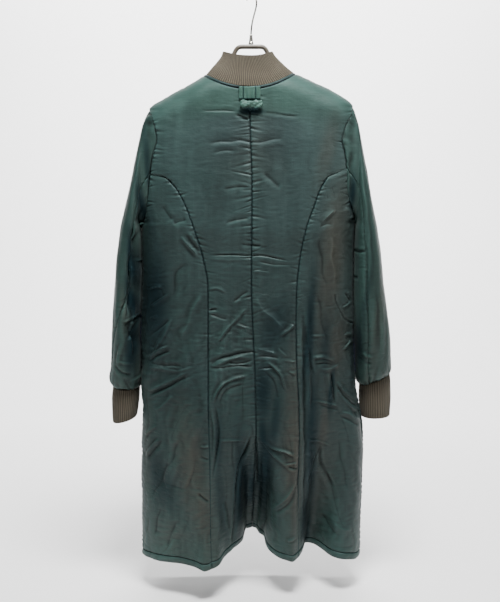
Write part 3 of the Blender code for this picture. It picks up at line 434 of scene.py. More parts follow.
# patches of painted brown sheen and painted shade on the nylon: middle x and z, half sizes, lean in
# degrees, strength
PAINTED_SHEEN_AND_SHADE = {
    "back": {
        # painted brown sheen
        "brown_band_and_painted_sheen": (
            (-160, -530, 26, 150, 5, 0.8), (-172, -690, 22, 80, 8, 0.6),
            (118, -950, 30, 170, -8, 1), (160, -1090, 60, 50, 0, 0.5), (-84, -900, 16, 190, 0, 0.9),
            (-150, -860, 12, 60, 6, 0.6), (-150, -1000, 34, 130, 6, 0.35),
            (-150, -300, 16, 70, 12, 0.4), (214, -900, 10, 140, 0, 0.5), (0, -294, 64, 66, 0, 0.4),
        ),
        # painted shade and painted shadow: the vent's folds, under the roll, beside the sleeves, the
        # left side and other darker places
        "painted_shade": (
            (-30, -945, 17, 95, 3, 1), (14, -985, 14, 110, -4, 0.9), (-22, -780, 18, 60, 0, 0.75),
            (-48, -840, 10, 70, 4, 0.6), (-112, -690, 7, 90, 6, 0.7), (-122, -900, 13, 150, 0, 0.9),
            (30, -280, 52, 56, 0, 0.28), (-38, -284, 52, 56, 0, 0.25), (-118, -660, 9, 110, 3, 0.8),
            (196, -600, 30, 110, 0, 0.85), (0, -228, 26, 5, 0, 1), (-200, -388, 6, 34, 3, 0.8),
            (-213, -705, 6, 62, 2, 1), (150, -760, 60, 60, 0, 0.25), (-116, -1070, 12, 70, 0, 0.95),
            (-150, -690, 10, 70, 4, 0.45), (-164, -780, 6, 45, 2, 0.9),
            (186, -965, 22, 60, -18, 0.5), (205, -640, 12, 110, 0, 0.6),
            (24, -1000, 12, 110, 2, 0.9), (62, -880, 7, 60, 0, 0.5), (60, -1010, 8, 90, -3, 0.4),
            (196, -470, 12, 70, -8, 0.35), (-1, -1000, 9, 75, 0, 1), (-28, -880, 10, 60, -8, 0.9),
            (-46, -655, 26, 60, 20, 0.5),
        ),
    },
    "sleeve": {
        # painted brown sheen
        "brown_band_and_painted_sheen": (
            (262, -560, 8, 220, -8, 0.35), (-262, -600, 10, 200, 8, 0.35),
        ),
        # painted shade in the left sleeve's inner trough and where the sleeves meet the body
        "painted_shade": (
            (214, -420, 8, 60, -10, 0.9), (232, -520, 10, 70, -6, 1), (237, -600, 10, 60, -3, 1),
            (240, -690, 11, 60, 2, 1), (203, -330, 6, 80, -8, 0.6), (-200, -385, 6, 34, 3, 0.9),
            (-219, -705, 7, 62, 2, 1), (-228, -610, 6, 120, 4, 0.3),
        ),
    },
}

# height, size of the long folds there; and of the gathers at the seams
FOLDED = ((-1150, 0.8), (-1080, 1.0), (-900, 1.0), (-760, 0.85), (-680, 0.5), (-580, 0.12),
          (-500, 0.0), (-150, 0.0))
GATHERED = ((-1150, 0.3), (-900, 0.35), (-800, 0.5), (-560, 0.55), (-480, 0.8), (-250, 0.85),
            (-150, 0.6))
# gathers that run away from each kind of seam: strength, reach, least and greatest spacing
GATHERS = {
    "centre": (2.3, 22, 7, 18),
    "princess_inner": (1.7, 13, 7, 18),
    "princess_outer": (1.6, 13, 7, 18),
    "side_back": (1.5, 13, 7, 16),
    "side_front": (1.8, 14, 5, 15),
    "front_edge": (1, 18, 8, 18),
    "sleeve": (1, 12, 5, 15),
    "armhole": (2, 26, 6, 15),
    "cuff": (1.3, 22, 7, 16),
}
# height, size of the small crinkles there
CRINKLE = ((-1150, 0.6), (-1000, 0.7), (-860, 0.75), (-780, 0.95), (-715, 1.2), (-660, 0.95),
           (-590, 0.7), (-500, 0.5), (-300, 0.35), (-230, 0.15), (-150, 0.1))
# height, painted shade of the back's cloth there: how light its colour is made, darkest around the waist
# and lower back
PAINTED_SHADE_BY_HEIGHT = ((-1150, 0.66), (-1110, 0.62), (-1040, 0.54), (-800, 0.46), (-620, 0.44), (-500, 0.54),
         (-400, 0.64), (-300, 0.66), (-150, 0.62))
# how light the other pieces look, in place of the painted shade by height, and the brown, painted green
# sheen, painted shade and tone on the inner sides
PLAIN_SHADE = 0.49
INNER_SHEEN_AND_SHADE = (0, 0.3, 0, 0.6)

# the point that the long folds fan out from, the least fall below it and the fan's radius
FAN_X = -6
FAN_Z = -300
LEAST_FALL = 150
FAN_RADIUS = 520
# where in the noise the folds are read, and how many cells the noise has along each axis
FOLD_NOISE = (900, 300)
NOISE_CELLS = 48

# colours of the nylon's threads, of its neck band and painted sheen, of its painted shade, of the knit
# and the painted shade in its rib valleys, of the strap and of the backdrop
SHELL_TEAL = (0.022, 0.046, 0.046)
PAINTED_GREEN_SHEEN = (0.032, 0.080, 0.067)
BROWN_OF_BAND_AND_PAINTED_SHEEN = (0.056, 0.054, 0.043)
PAINTED_SHADE_NAVY = (0.002, 0.009, 0.015)
KNIT_TAUPE = (0.065, 0.055, 0.038)
KNIT_DARK = (0.046, 0.040, 0.027)
KNIT_PALE = (0.092, 0.078, 0.055)
KNIT_PAINTED_SHADE = (0.012, 0.010, 0.007)
STRAP_GREEN = (0.026, 0.070, 0.054)
PAPER = (0.87, 0.87, 0.87)
# the way that faces turn to get the painted sheen, the nylon's lit thread: greener on faces turned
# toward it, browner on faces turned away
PAINTED_SHEEN_WAY = (0.45, 0.0, 0.89)
# colour, roughness, metallic, depth and scale of the grain
PLAIN = {
    "navy_cloth": ((0.012, 0.018, 0.045), 0.75, 0, 0.0004, 600),
    "black_tape": ((0.015, 0.015, 0.016), 0.85, 0, 0.0003, 900),
    "hanger_plastic": ((0.085, 0.070, 0.052), 0.42, 0, 0.0001, 80),
    "hanger_chrome": ((0.34, 0.33, 0.30), 0.24, 1, 0, 300),
    "zip_metal": ((0.36, 0.36, 0.34), 0.34, 1, 0, 300),
}

# The stage, the lights and the camera, in metres.
FLOOR_Z = -1.215
FLOOR_END = 2.6
FLOOR_HALF = 4.0
CURVE_Y = -1.3
CURVE_RADIUS = 1.7
BACKDROP_TOP = 2.6
# name, place, aim, size and watts
LIGHTS = (
    ("key", (-0.15, 0.75, 1.2), (0, 0, -0.4), (0.8, 0.5), 112),
    ("side_right", (-1.8, 1.2, 0.5), (0, 0, -0.5), (0.5, 1.2), 6),
    ("side_left", (1.8, 1.2, 0.5), (0, 0, -0.5), (0.5, 1.2), 8),
    ("paper", (0, -1.7, 1.5), (0, -3, -0.2), (3.6, 0.4), 270),
)
WORLD_STRENGTH = 0.12
CAMERA_PLACE = (0.00205, 1.85, -0.35911)
CAMERA_PITCH = math.radians(7.571)
CAMERA_LENS = 54.44
CAMERA_SENSOR = 36.0


def ease(table, value, column=1):
    """Read a table at a value of its first column, as a smooth curve that never overshoots."""
    rows = np.array(sorted(table, key=lambda row: row[0]), float)
    places = rows[:, 0]
    spot = np.clip(np.asarray(value, float).ravel(), places[0], places[-1])
    read = smooth_read(rows[:, column], places, spot)
    return float(read[0]) if np.isscalar(value) else read.reshape(np.shape(value))


def soft_step(value):
    """From 0 to 1 with soft ends, as a value goes from 0 to 1."""
    t = np.clip(value, 0, 1)
    return t * t * (3 - 2 * t)


def rounded(share):
    """Quarter circle that rises steeply from 0 and levels out at 1."""
    return np.sqrt(1 - (1 - np.clip(share, 0, 1)) ** 2)


def hermite(points, tangents, places, spots):
    """Curve through an array's rows at their places with given tangents, read at other spots."""
    width = (1,) * (points.ndim - 1)
    i = np.clip(np.searchsorted(places, spots, side="right") - 1, 0, len(places) - 2)
    step = (places[i + 1] - places[i]).reshape(-1, *width)
    t = ((spots - places[i]).reshape(-1, *width)) / step
    start = points[i] * (1 + 2 * t) * (1 - t) ** 2 + step * tangents[i] * t * (1 - t) ** 2
    end = points[i + 1] * t * t * (3 - 2 * t) + step * tangents[i + 1] * t * t * (t - 1)
    return start + end


def smooth_read(points, places, spots):
    """Smooth curve through the rows of an array, without overshoot between them."""
    steps = np.diff(places).reshape(-1, *(1,) * (points.ndim - 1))
    slopes = np.diff(points, axis=0) / steps
    tangents = np.empty_like(points, dtype=float)
    tangents[0] = slopes[0]
    tangents[-1] = slopes[-1]
    product = slopes[1:] * slopes[:-1]
    total = np.where(product > 0, slopes[1:] + slopes[:-1], 1.0)
    tangents[1:-1] = np.where(product > 0, 2 * product / total, 0.0)
    return hermite(points, tangents, places, spots)


def runs(gaps):
    """Distances along a line or a grid whose gaps are given, from 0."""
    return np.concatenate([[0.0], np.cumsum(gaps)])


def point_gaps(line):
    return np.linalg.norm(np.diff(line, axis=0), axis=1)


def row_gaps(grid):
    return np.linalg.norm(np.diff(grid, axis=0), axis=2).mean(axis=1)


def by_share(rows, shares):
    """Read a list of points at shares of the way along it, as smooth curves."""
    places = np.linspace(0.0, 1.0, len(rows))
    return smooth_read(np.array(rows, float), places, np.atleast_1d(shares))


def half_width(side, z):
    return ease(BODY, z, 1 if side == "left" else 2)


def shoulder_z(side, x):
    return ease(SHOULDER[side], np.abs(x))


def body_y(side, face, x, z):
    """Depth of the body's surface at places in front view."""
    across = np.minimum(np.abs(x) / half_width(side, z), 1.0)
    bulge = (1.0 - across ** SECTION_POWER) ** (1.0 / SECTION_POWER)
    bulge = bulge * rounded((shoulder_z(side, x) - z) / SHOULDER_ROUNDING)
    if face == "back":
        return ease(BODY, z, 3) * bulge
    return -ease(BODY, z, 4) * bulge


def armhole_x(side, z):
    return SIDES[side] * ease(ARMHOLE[side], z)


def princess_x(side, z):
    return SIDES[side] * ease(PRINCESS[side], z)


def shoulder_point(side, share):
    x = TIP_X + (NECK_X[side] - TIP_X) * share
    return SIDES[side] * x, shoulder_z(side, x)


def side_x(side, z):
    """Outer edge of the side pieces: the side seam, and the armhole above it."""
    return armhole_x(side, z) if z > ARMPIT_Z else SIDES[side] * half_width(side, z)


def fold_amount(name, z):
    """How far a piece's folds have opened and deepened at heights, from 0 to 1."""
    top, open_power, deep_power = FOLD[name]
    fall = np.clip((top - z) / (top - HEM_Z), 0.0, 1.0)
    return 1.0 - (1.0 - fall) ** open_power, fall ** deep_power


def fold_shift(name, shares, z, start):
    """How far a back piece's folds move points whose unfolded hem places are start."""
    aim = by_share(HEM[name], shares) - start
    wide, deep = fold_amount(name, z)
    if name.startswith("back"):
        side_wide, side_deep = fold_amount("side_" + name, z)
        pull = shares ** 8
        wide = wide + (side_wide - wide) * pull
        deep = deep + (side_deep - deep) * pull
    return aim * np.stack([wide, deep, deep], axis=-1)


def stack(x, y, z):
    """Array of points from their coordinates."""
    return np.stack(np.broadcast_arrays(x, y, z), axis=-1)


def row_points(side, face, start, end, shares, neck, way=None):
    """Row between two ends; rows bend up toward the neck as neck goes to 1.

    Way tells how far across the row's places are where neck is 0. Else they are at the shares.
    """
    way = shares if way is None else way
    u = way + neck * (np.sin(shares * math.pi / 2) - way)
    x = start[0] + (end[0] - start[0]) * u
    z = start[1] + (end[1] - start[1]) * u ** (1.0 + 1.2 * neck)
    return stack(x, body_y(side, face, x, z), z)


def angle_at(side, x, z):
    """Angle round the body's section at which a place in front view lies."""
    across = min(abs(x) / half_width(side, z), 1.0)
    return math.acos(across ** (SECTION_POWER / 2))


def wrap_points(side, face, start, end, shares):
    """Row that runs round the body's side, evenly in angle."""
    z = start[1] + (end[1] - start[1]) * shares
    first = angle_at(side, *start)
    last = angle_at(side, *end)
    angle = first + (last - first) * shares
    x = SIDES[side] * half_width(side, z) * np.abs(np.cos(angle)) ** (2 / SECTION_POWER)
    return stack(x, body_y(side, face, x, z), z)


def refine_rows(rows, step, extra=()):
    """Smooth fine rows through coarse ones, a step apart at most, with extra places from the first."""
    grid = np.array(rows)
    places = runs(row_gaps(grid))
    spots = [places[:1]]
    for low, high in zip(places[:-1], places[1:]):
        count = max(1, int(math.ceil((high - low) / step)))
        spots.append(np.linspace(low, high, count + 1)[1:])
    spots = np.unique(np.round(np.concatenate([*spots, np.array(extra, float)]), 3))
    return smooth_read(grid, places, np.clip(spots, places[0], places[-1]))


def seam_shares(width, step):
    """Shares of a row's width, closer together by the seams at both ends."""
    near = np.array(SEAM_PLACES, float)
    inner = np.linspace(near[-1], width - near[-1], max(2, int((width - 2 * near[-1]) / step)))
    return np.concatenate([near[:-1], inner, (width - near[:-1])[::-1]]) / width


def upper_rows(side, face):
    """Rows above the armpit: height at the middle, x and z of the end, and bend to the neck."""
    k = 0 if face == "back" else 1
    rows = [(row[k], armhole_x(side, row[2]), row[2], 0.0) for row in ARM_LEVELS[side]]
    return rows + [(row[k], *shoulder_point(side, row[2]), row[2]) for row in SHOULDER_LEVELS]


def mouth_gap(side, z):
    """Half gap of the pocket mouth in a side seam at heights."""
    return np.interp(z, *np.array(sorted(POCKET_MOUTH[side])).T)


def folded(name, rows, shares):
    """A back piece's rows, moved by its folds; the first row is its hem."""
    return [row + fold_shift(name, shares, row[:, 2], rows[0]) for row in rows]


def back_panel(side, step):
    """Grid of a centre back piece, from the hem to the neck."""
    shares = seam_shares(WIDTH["back"], step[0])
    rows = []
    lower = [(z, princess_x(side, z), z, 0.0) for z in LOWER_LEVELS]
    for centre_z, end_x, end_z, neck in lower + upper_rows(side, "back"):
        start = (ease(CENTRE_SEAM, centre_z), centre_z)
        rows.append(row_points(side, "back", start, (end_x, end_z), shares, neck))
    return refine_rows(folded("back_" + side, rows, shares), step[1], HEM_PLACES)


def side_back_panel(side, step):
    """Grid of a side back piece, from the hem to the armhole."""
    name = "side_back_" + side
    shares = seam_shares(WIDTH["side_back"], step[0])
    rows = []
    for z in LOWER_LEVELS:
        end_z = ARM_LEVELS[side][0][2] if z == LOWER_LEVELS[-1] else z
        end = (side_x(side, end_z), end_z)
        rows.append(wrap_points(side, "back", (princess_x(side, z), z), end, shares))
    rows = folded(name, rows, shares)
    for z, row in zip(LOWER_LEVELS, rows):
        row[:, 1] += mouth_gap(side, z) * mouth_share(shares, len(HEM[name]))
    return refine_rows(rows, step[1], HEM_PLACES)


def front_fall(z):
    """How far a height lies below the start of the front's waves, from 0 to 1 at the hem."""
    return min(max((FRONT_WAVE_START - z) / (FRONT_WAVE_START - HEM_Z), 0.0), 1.0)


def mouth_share(shares, count):
    """Amount of the pocket mouth's gap at places of a row: all of it only at the side seam."""
    return np.clip(1 - (1 - shares) * (count - 1), 0.0, 1.0)


def front_row(side, centre_z, end_x, end_z, neck, shares):
    """Row of a front piece from its front edge to the side seam, the armhole or the shoulder."""
    start = (SIDES[side] * FRONT_EDGE_X, centre_z)
    end = (end_x, end_z)
    if neck == 0.0 and end_z < shoulder_z(side, TIP_X):
        return wrap_points(side, "front", start, end, shares)
    first = angle_at(side, *start)
    last = angle_at(side, *end)
    way = np.cos(first + (last - first) * shares) ** (2 / SECTION_POWER)
    way = (way - way[0]) / (way[-1] - way[0])
    return row_points(side, "front", start, end, shares, neck, way)


def front_panel(side, step):
    """Grid of a front piece, from the hem to the neck."""
    shares = seam_shares(WIDTH["front"], step[0])
    wave = by_share(FRONT_WAVE, shares)
    lower = [(z + FRONT_HEM_RISE * front_fall(z) ** 3, side_x(side, z), z, 0.0)
             for z in LOWER_LEVELS[:-1]]
    seam_start = np.array([side_x(side, HEM_Z), 0.0, HEM_Z])
    rows = []
    for centre_z, end_x, end_z, neck in lower + upper_rows(side, "front"):
        row = front_row(side, centre_z, end_x, end_z, neck, shares)
        row[:, 1] -= wave * front_fall(end_z) ** 1.4
        seam = fold_shift("side_back_" + side, np.ones(1), np.full(1, float(end_z)), seam_start)
        row = row + seam * shares[:, None] ** 2
        row[:, 1] -= mouth_gap(side, end_z) * mouth_share(shares, len(FRONT_WAVE))
        rows.append(row)
    return refine_rows(rows, step[1], HEM_PLACES)


def oval(power, angle):
    """Squared-off circle: its two coordinates at angles."""
    wide, deep = np.cos(angle), np.sin(angle)
    return (np.sign(wide) * np.abs(wide) ** (2 / power), np.sign(deep) * np.abs(deep) ** (2 / power))


def tube_ring(side, ring, power, angle, middle_y):
    """Points of a sleeve's or cuff's ring at angles, from its outer end round by the back."""
    outer_x, outer_z, inner_x, inner_z, depth = ring
    wide, deep = oval(power, angle)
    x = (outer_x + inner_x) / 2 + (outer_x - inner_x) / 2 * wide
    z = (outer_z + inner_z) / 2 + (outer_z - inner_z) / 2 * wide
    return stack(SIDES[side] * x, middle_y + depth * deep, z)


def armhole_levels(side):
    """Heights of the armhole seam's nodes, from the shoulder tip to the armpit."""
    levels = [shoulder_z(side, TIP_X)] + [row[2] for row in reversed(ARM_LEVELS[side])]
    return levels + [z for z in reversed(LOWER_LEVELS[:-1]) if z >= ARMPIT_Z]


def armhole_points(side, face, nodes):
    """Points of the armhole seam at node numbers, from the shoulder tip to the armpit."""
    levels = armhole_levels(side)
    z = np.interp(nodes, np.arange(len(levels)), levels)
    x = np.array([side_x(side, float(value)) for value in z])
    points = stack(x, body_y(side, face, x, z), z)
    points[nodes == 0] = (SIDES[side] * TIP_X, 0.0, shoulder_z(side, TIP_X))
    return points


def sleeve_half(side, part, step):
    """Grid of the upper or under sleeve: rings from the armhole to the cuff."""
    half = len(armhole_levels(side)) - 1
    gaps = point_gaps(armhole_points(side, "back", np.arange(half + 1)))
    node_shares = runs(gaps) / gaps.sum()
    shares = seam_shares(WIDTH["sleeve"], step[0])
    if part == "under":
        ways = SEAM_NODE + (2 * half - 2 * SEAM_NODE) * shares
    else:
        ways = (2 * half - SEAM_NODE + 2 * SEAM_NODE * shares) % (2 * half)
    on_back = ways <= half
    nodes = np.where(on_back, ways, 2 * half - ways)
    faces = [armhole_points(side, face, nodes) for face in ("back", "front")]
    rings = [np.where(on_back[:, None], *faces)]
    base = np.interp(nodes, np.arange(half + 1), node_shares)
    first_seam = node_shares[SEAM_NODE]
    total = len(SLEEVE[side])
    for k, (*ring, middle_y) in enumerate(SLEEVE[side]):
        seam = SLEEVE_SEAM[side][k + 1]
        mix = min(1.0, (k + 1) / total * 2)
        share = base + (nodes / half - base) * mix
        pivot = first_seam + (SEAM_NODE / half - first_seam) * mix
        outer_part = share * seam / pivot
        inner_part = seam + (share - pivot) * (1 - seam) / (1 - pivot)
        on_upper = np.where(nodes <= SEAM_NODE, outer_part, inner_part)
        angle = np.where(on_back, on_upper, -share) * math.pi
        rings.append(tube_ring(side, ring, SLEEVE_POWER, angle, middle_y))
    return refine_rows(rings, step[1])


def normals_of(grid, guide, wrap=False):
    """Unit normals at the grid's points, on the side that guide names."""
    if wrap:
        across = np.roll(grid, -1, axis=1) - np.roll(grid, 1, axis=1)
    else:
        across = np.gradient(grid, axis=1)
    normals = np.cross(across, np.gradient(grid, axis=0))
    return normals / np.maximum(np.linalg.norm(normals, axis=2, keepdims=True), 1e-9) * guide


def noise_field(points, cell, seed):
    """Smooth noise from -1 to 1 at points, with cells of a given size along x, y and z."""
    table = np.random.default_rng(seed).uniform(-1.0, 1.0, (NOISE_CELLS,) * 3)
    spot = points / np.array(cell, float)
    low = np.floor(spot).astype(int)
    t = soft_step(spot - low)
    total = np.zeros(points.shape[:-1])
    for corner in np.ndindex(2, 2, 2):
        weight = np.prod(np.where(corner, t, 1 - t), axis=-1)
        total += weight * table[tuple(np.moveaxis((low + corner) % NOISE_CELLS, -1, 0))]
    return total


def bell(distance, width):
    return np.exp(-(distance / width) ** 2)


def fading(distance, reach):
    return np.exp(-distance / reach)


def smooth_line(points, step=5.0):
    """Rounded polyline through a crease's points."""
    line = np.reshape(points, (-1, 2)).astype(float)
    if len(line) == 2:
        line = np.array([line[0], line.mean(axis=0), line[1]])
    places = runs(point_gaps(line))
    spots = np.linspace(0.0, places[-1], max(3, int(places[-1] / step)))
    return hermite(line, np.gradient(line, places, axis=0), places, spots), places[-1]


def near_line(x, z, points, reach):
    """Mask of places within reach of a line, their signed distance from it, their share along it,
    and the line's length."""
    line, length = smooth_line(points)
    low = line.min(axis=0) - reach
    high = line.max(axis=0) + reach
    mask = (x > low[0]) & (x < high[0]) & (z > low[1]) & (z < high[1])
    near_x, near_z = x[mask], z[mask]
    best = np.full(near_x.shape, 1e9)
    signed = np.zeros(near_x.shape)
    share = np.zeros(near_x.shape)
    count = len(line) - 1
    for k, ((x0, z0), (x1, z1)) in enumerate(zip(line[:-1], line[1:])):
        dx, dz = x1 - x0, z1 - z0
        size = math.hypot(dx, dz) + 1e-9
        t = np.clip(((near_x - x0) * dx + (near_z - z0) * dz) / size ** 2, 0.0, 1.0)
        off_x, off_z = near_x - x0 - t * dx, near_z - z0 - t * dz
        distance = np.hypot(off_x, off_z)
        closer = distance < best
        best = np.where(closer, distance, best)
        signed = np.where(closer, np.sign(off_x * dz - off_z * dx) * distance, signed)
        share = np.where(closer, (k + t) / count, share)
    return mask, signed, share, length


def crease_relief(x, z, creases, seed, flip=1.0):
    """Sum of the listed creases: crisp along their line, soft at their ends and feet."""
    rng = np.random.default_rng(seed)
    total = np.zeros(x.shape)
    for height, width, *line in creases:
        points = np.reshape(line, (-1, 2)) * (flip, 1.0)
        width = width * (0.62 if width < 5.0 else 0.85)
        mask, signed, share, length = near_line(x, z, points, width * 5.0)
        phase, lean = rng.uniform(0, 6.3), rng.choice((-0.35, 0.35))
        signed = signed + 0.25 * width * np.sin(share * length / 9.0 + phase)
        distance = np.abs(signed) * (1 + lean * np.sign(signed))
        crest = np.exp(-(np.sqrt(distance ** 2 + 0.12) - 0.346) / width * 1.3)
        foot = bell(distance - 2.6 * width, 1.2 * width)
        ends = soft_step(np.clip(share / 0.22, 0, 1) * np.clip((1 - share) / 0.22, 0, 1))
        uneven = 1 + 0.22 * np.sin(share * length / 14.0 + 2 * phase)
        total[mask] += 1.15 * height * ends * uneven * (crest - 0.2 * foot)
    return total


def gathers(seam, run, away, seed):
    """Short gathers that run away from a seam, uneven in spacing, length, depth and lean."""
    strength, reach, *spacing = GATHERS[seam]
    rng = np.random.default_rng(seed)
    total = np.zeros(away.shape)
    place, last = float(run.min()), float(run.max())
    while place < last:
        place += rng.uniform(*spacing)
        height = -strength * rng.uniform(0.3, 1.0) ** 1.3
        width = rng.uniform(1.2, 2.6)
        length = reach * rng.uniform(0.35, 1.2)
        lean = rng.uniform(-0.4, 0.4)
        mask = (np.abs(run - place) < 3 * width + abs(lean) * length * 2) & (away < length * 2.2)
        near = away[mask]
        off = run[mask] - place - lean * near
        fade = np.exp(-(near / length) ** 1.6) * (1 - 0.6 * fading(near, 1.2))
        wave = bell(off, width) - 0.55 * bell(np.abs(off) - 1.9 * width, width)
        total[mask] += height * fade * wave
    return total


def seam_groove(away, depth=1.8, width=1.6, puff=1.0):
    """Narrow groove at a seam with the padding rising softly beside it."""
    return -depth * np.exp(-(away / width) ** 1.2) - puff * fading(away, 9.0)


def edge_groove(away):
    """Slight groove at a seam that lies on the coat's outline."""
    return seam_groove(away, 1.0, 1.0, 0.0)


def stitch_groove(distance, depth, width):
    return -depth * bell(distance, width)


def edge_runs(grid):
    """Distance of each point from the first and last column along its row, and from the first and
    last row along its column."""
    distances = []
    for axis in (1, 0):
        gaps = np.linalg.norm(np.diff(grid, axis=axis), axis=2)
        run = np.cumsum(np.insert(gaps, 0, 0.0, axis=axis), axis=axis)
        distances += [run, np.take(run, [-1], axis=axis) - run]
    return distances


def crinkles(grid, z, seed):
    """Small uneven wrinkles all over, more of them where the coat is crushed."""
    warp = np.stack([noise_field(grid, (38, 38, 30), seed + k) for k in (1, 2, 3)], axis=-1)
    spot = grid + warp * np.array([10.0, 10.0, 9.0])
    wide = noise_field(spot, (26, 26, 11), seed + 4)
    fine = noise_field(spot, (12, 12, 5.5), seed + 5)
    tall = noise_field(spot, (9, 9, 42), seed + 6)
    ridge = 1 - 2 * np.abs(wide)
    size = 0.45 * ridge * np.abs(ridge) - 0.4 * bell(wide, 0.11) + 0.3 * fine + 0.45 * tall
    return ease(CRINKLE, z) * size


def drape(grid, seed):
    """Slow swells of the hanging cloth."""
    return 1.6 * noise_field(grid, (60, 60, 150), seed) + 0.8 * noise_field(grid, (34, 34, 70), seed + 9)


def folds(grid, seed):
    """Long uneven folds that fan out and down from the small of the back."""
    x, z = grid[..., 0], grid[..., 2]
    fall = np.maximum(FAN_Z - z, LEAST_FALL)
    bend = 10.0 * noise_field(grid, (60, 60, 55), seed + 2)
    round_fan = FAN_RADIUS * np.arctan2(x - FAN_X, fall) + bend + FOLD_NOISE[0]
    spot = stack(round_fan, FOLD_NOISE[1], np.hypot(x - FAN_X, fall))
    broad = noise_field(spot, (24, 1, 150), seed)
    fine = noise_field(spot, (9, 1, 70), seed + 1)
    here = np.clip(0.3 + 1.3 * noise_field(grid, (50, 50, 60), seed + 3), 0, 1)
    crisp = fading(np.abs(broad), 0.06) * here
    return ease(FOLDED, z) * (3.4 * broad + 1.1 * fine * here - 1.5 * crisp)


def hem_relief(up):
    """Hem band: a rolled edge, a groove under its stitch row and a slight puff between."""
    edge = -1.3 * np.sqrt(1 - np.clip(up / 1.6, 0, 1))
    band = 0.9 * bell(up - 7.0, 5.0)
    return edge + band + stitch_groove(up - HEM_STITCH, 2.0, 1.3)


def build_shell(name, grid, relief, guide, wall=1.3, inner_step=2, wrap=False, under=None):
    """Closed thin shell: the fine outer grid with its relief, and a coarser inner side below it.

    The inner side lies a wall below the lowest relief nearby, or under gives its own relief.
    """
    normals = normals_of(grid, guide, wrap)
    lowest = relief
    for _ in range(inner_step):
        padded = np.pad(lowest, 1, mode="edge")
        lowest = np.minimum.reduce([padded[:-2, 1:-1], padded[2:, 1:-1], padded[1:-1, :-2],
                                    padded[1:-1, 2:], padded[1:-1, 1:-1]])
    depth = lowest - wall if under is None else -wall - under
    rows, columns = grid.shape[:2]
    row_pick = sorted({*range(0, rows, inner_step), rows - 1})
    column_pick = sorted({*range(0, columns, inner_step), columns - 1})
    outer = grid + normals * relief[..., None]
    inner = (grid + normals * depth[..., None])[np.ix_(row_pick, column_pick)]
    size = rows * columns
    fine = np.arange(size).reshape(rows, columns)
    coarse = size + np.arange(len(row_pick) * len(column_pick)).reshape(inner.shape[:2])
    edges = [(fine[0], coarse[0], column_pick, False), (fine[-1], coarse[-1], column_pick, True)]
    if wrap:
        edges = [([*line, line[0]], [*foot, foot[0]], [*picks, columns], turn)
                 for line, foot, picks, turn in edges]
    else:
        edges += [(fine[:, 0], coarse[:, 0], row_pick, True),
                  (fine[:, -1], coarse[:, -1], row_pick, False)]
    faces = quad_faces(rows, columns, 0, wrap)
    faces += [face[::-1] for face in quad_faces(*inner.shape[:2], size, wrap)]
    for edge in edges:
        faces += rim(*edge)
    if guide < 0:
        faces = [face[::-1] for face in faces]
    verts = np.concatenate([outer.reshape(-1, 3), inner.reshape(-1, 3)])
    return mesh_object(name, verts * MM, faces)


def quad_faces(rows, columns, start, wrap):
    """Faces between a grid's points, whose numbers begin at start."""
    last = columns if wrap else columns - 1
    i, j = np.meshgrid(np.arange(rows - 1), np.arange(last), indexing="ij")
    k = (j + 1) % columns
    quads = np.stack([i * columns + j, i * columns + k, (i + 1) * columns + k, (i + 1) * columns + j],
                     axis=-1)
    return [tuple(quad) for quad in (quads.reshape(-1, 4) + start).tolist()]


def rim(fine, coarse, picks, turn):
    """Faces between a fine edge and the coarse inner edge whose points lie under picked ones."""
    faces = []
    for k, (low, high) in enumerate(zip(picks[:-1], picks[1:])):
        middle = (low + high) // 2
        for j in range(low, high):
            foot = coarse[k] if j < middle else coarse[k + 1]
            faces.append((fine[j], foot, fine[j + 1]))
        faces.append((fine[middle], coarse[k], coarse[k + 1]))
    faces = [tuple(map(int, face)) for face in faces]
    return [face[::-1] for face in faces] if turn else faces


def linked(name, data):
    obj = bpy.data.objects.new(name, data)
    bpy.context.scene.collection.objects.link(obj)
    return obj


def mesh_object(name, verts, faces, sharp=60):
    mesh = bpy.data.meshes.new(name)
    mesh.from_pydata([tuple(v) for v in np.asarray(verts).tolist()], [], faces)
    mesh.update()
    mesh.shade_smooth()
    mesh.set_sharp_from_angle(angle=math.radians(sharp))
    return linked(name, mesh)


def add_values(obj, name, kind, key, values):
    """Give each point of an object's mesh its values."""
    attribute = obj.data.attributes.new(name, kind, "POINT")
    attribute.data.foreach_set(key, np.ravel(values).astype(np.float32))


def declare(obj, slot, material, *nodes):
    """Give a piece its material and its body, and hide the solids that it stands for."""
    obj.data.materials.append(material)
    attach(obj, "coat")
    if nodes:
        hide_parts(*nodes)


def soft_patch(x, z, middle_x, middle_z, half_x, half_z, lean):
    """Oval patch: 1 in its middle, falling softly to 0 at its edge."""
    turn = math.radians(lean)
    dx = x - middle_x
    dz = z - middle_z
    wide = (dx * math.cos(turn) + dz * math.sin(turn)) / half_x
    high = (dz * math.cos(turn) - dx * math.sin(turn)) / half_z
    return np.exp(-(wide ** 2 + high ** 2) ** 1.2)


def blurred(field, reach):
    """Mean of a field over the cells within reach along both of its axes."""
    for axis in (0, 1):
        pads = [(0, 0), (0, 0)]
        pads[axis] = (reach + 1, reach)
        total = np.moveaxis(np.cumsum(np.pad(field, pads, mode="edge"), axis=axis), axis, 0)
        mean = (total[2 * reach + 1:] - total[:-2 * reach - 1]) / (2 * reach + 1)
        field = np.moveaxis(mean, 0, axis)
    return field


def painted_crease_shade(relief):
    """Painted shade in the cloth's creases and painted highlight on their crests: how much darker or
    lighter its colour is made.
    """
    high = np.clip((relief - blurred(blurred(relief, 2), 2)) / 0.8, -1.0, 1.0)
    return 1 + np.where(high < 0, 0.62, 0.42) * high


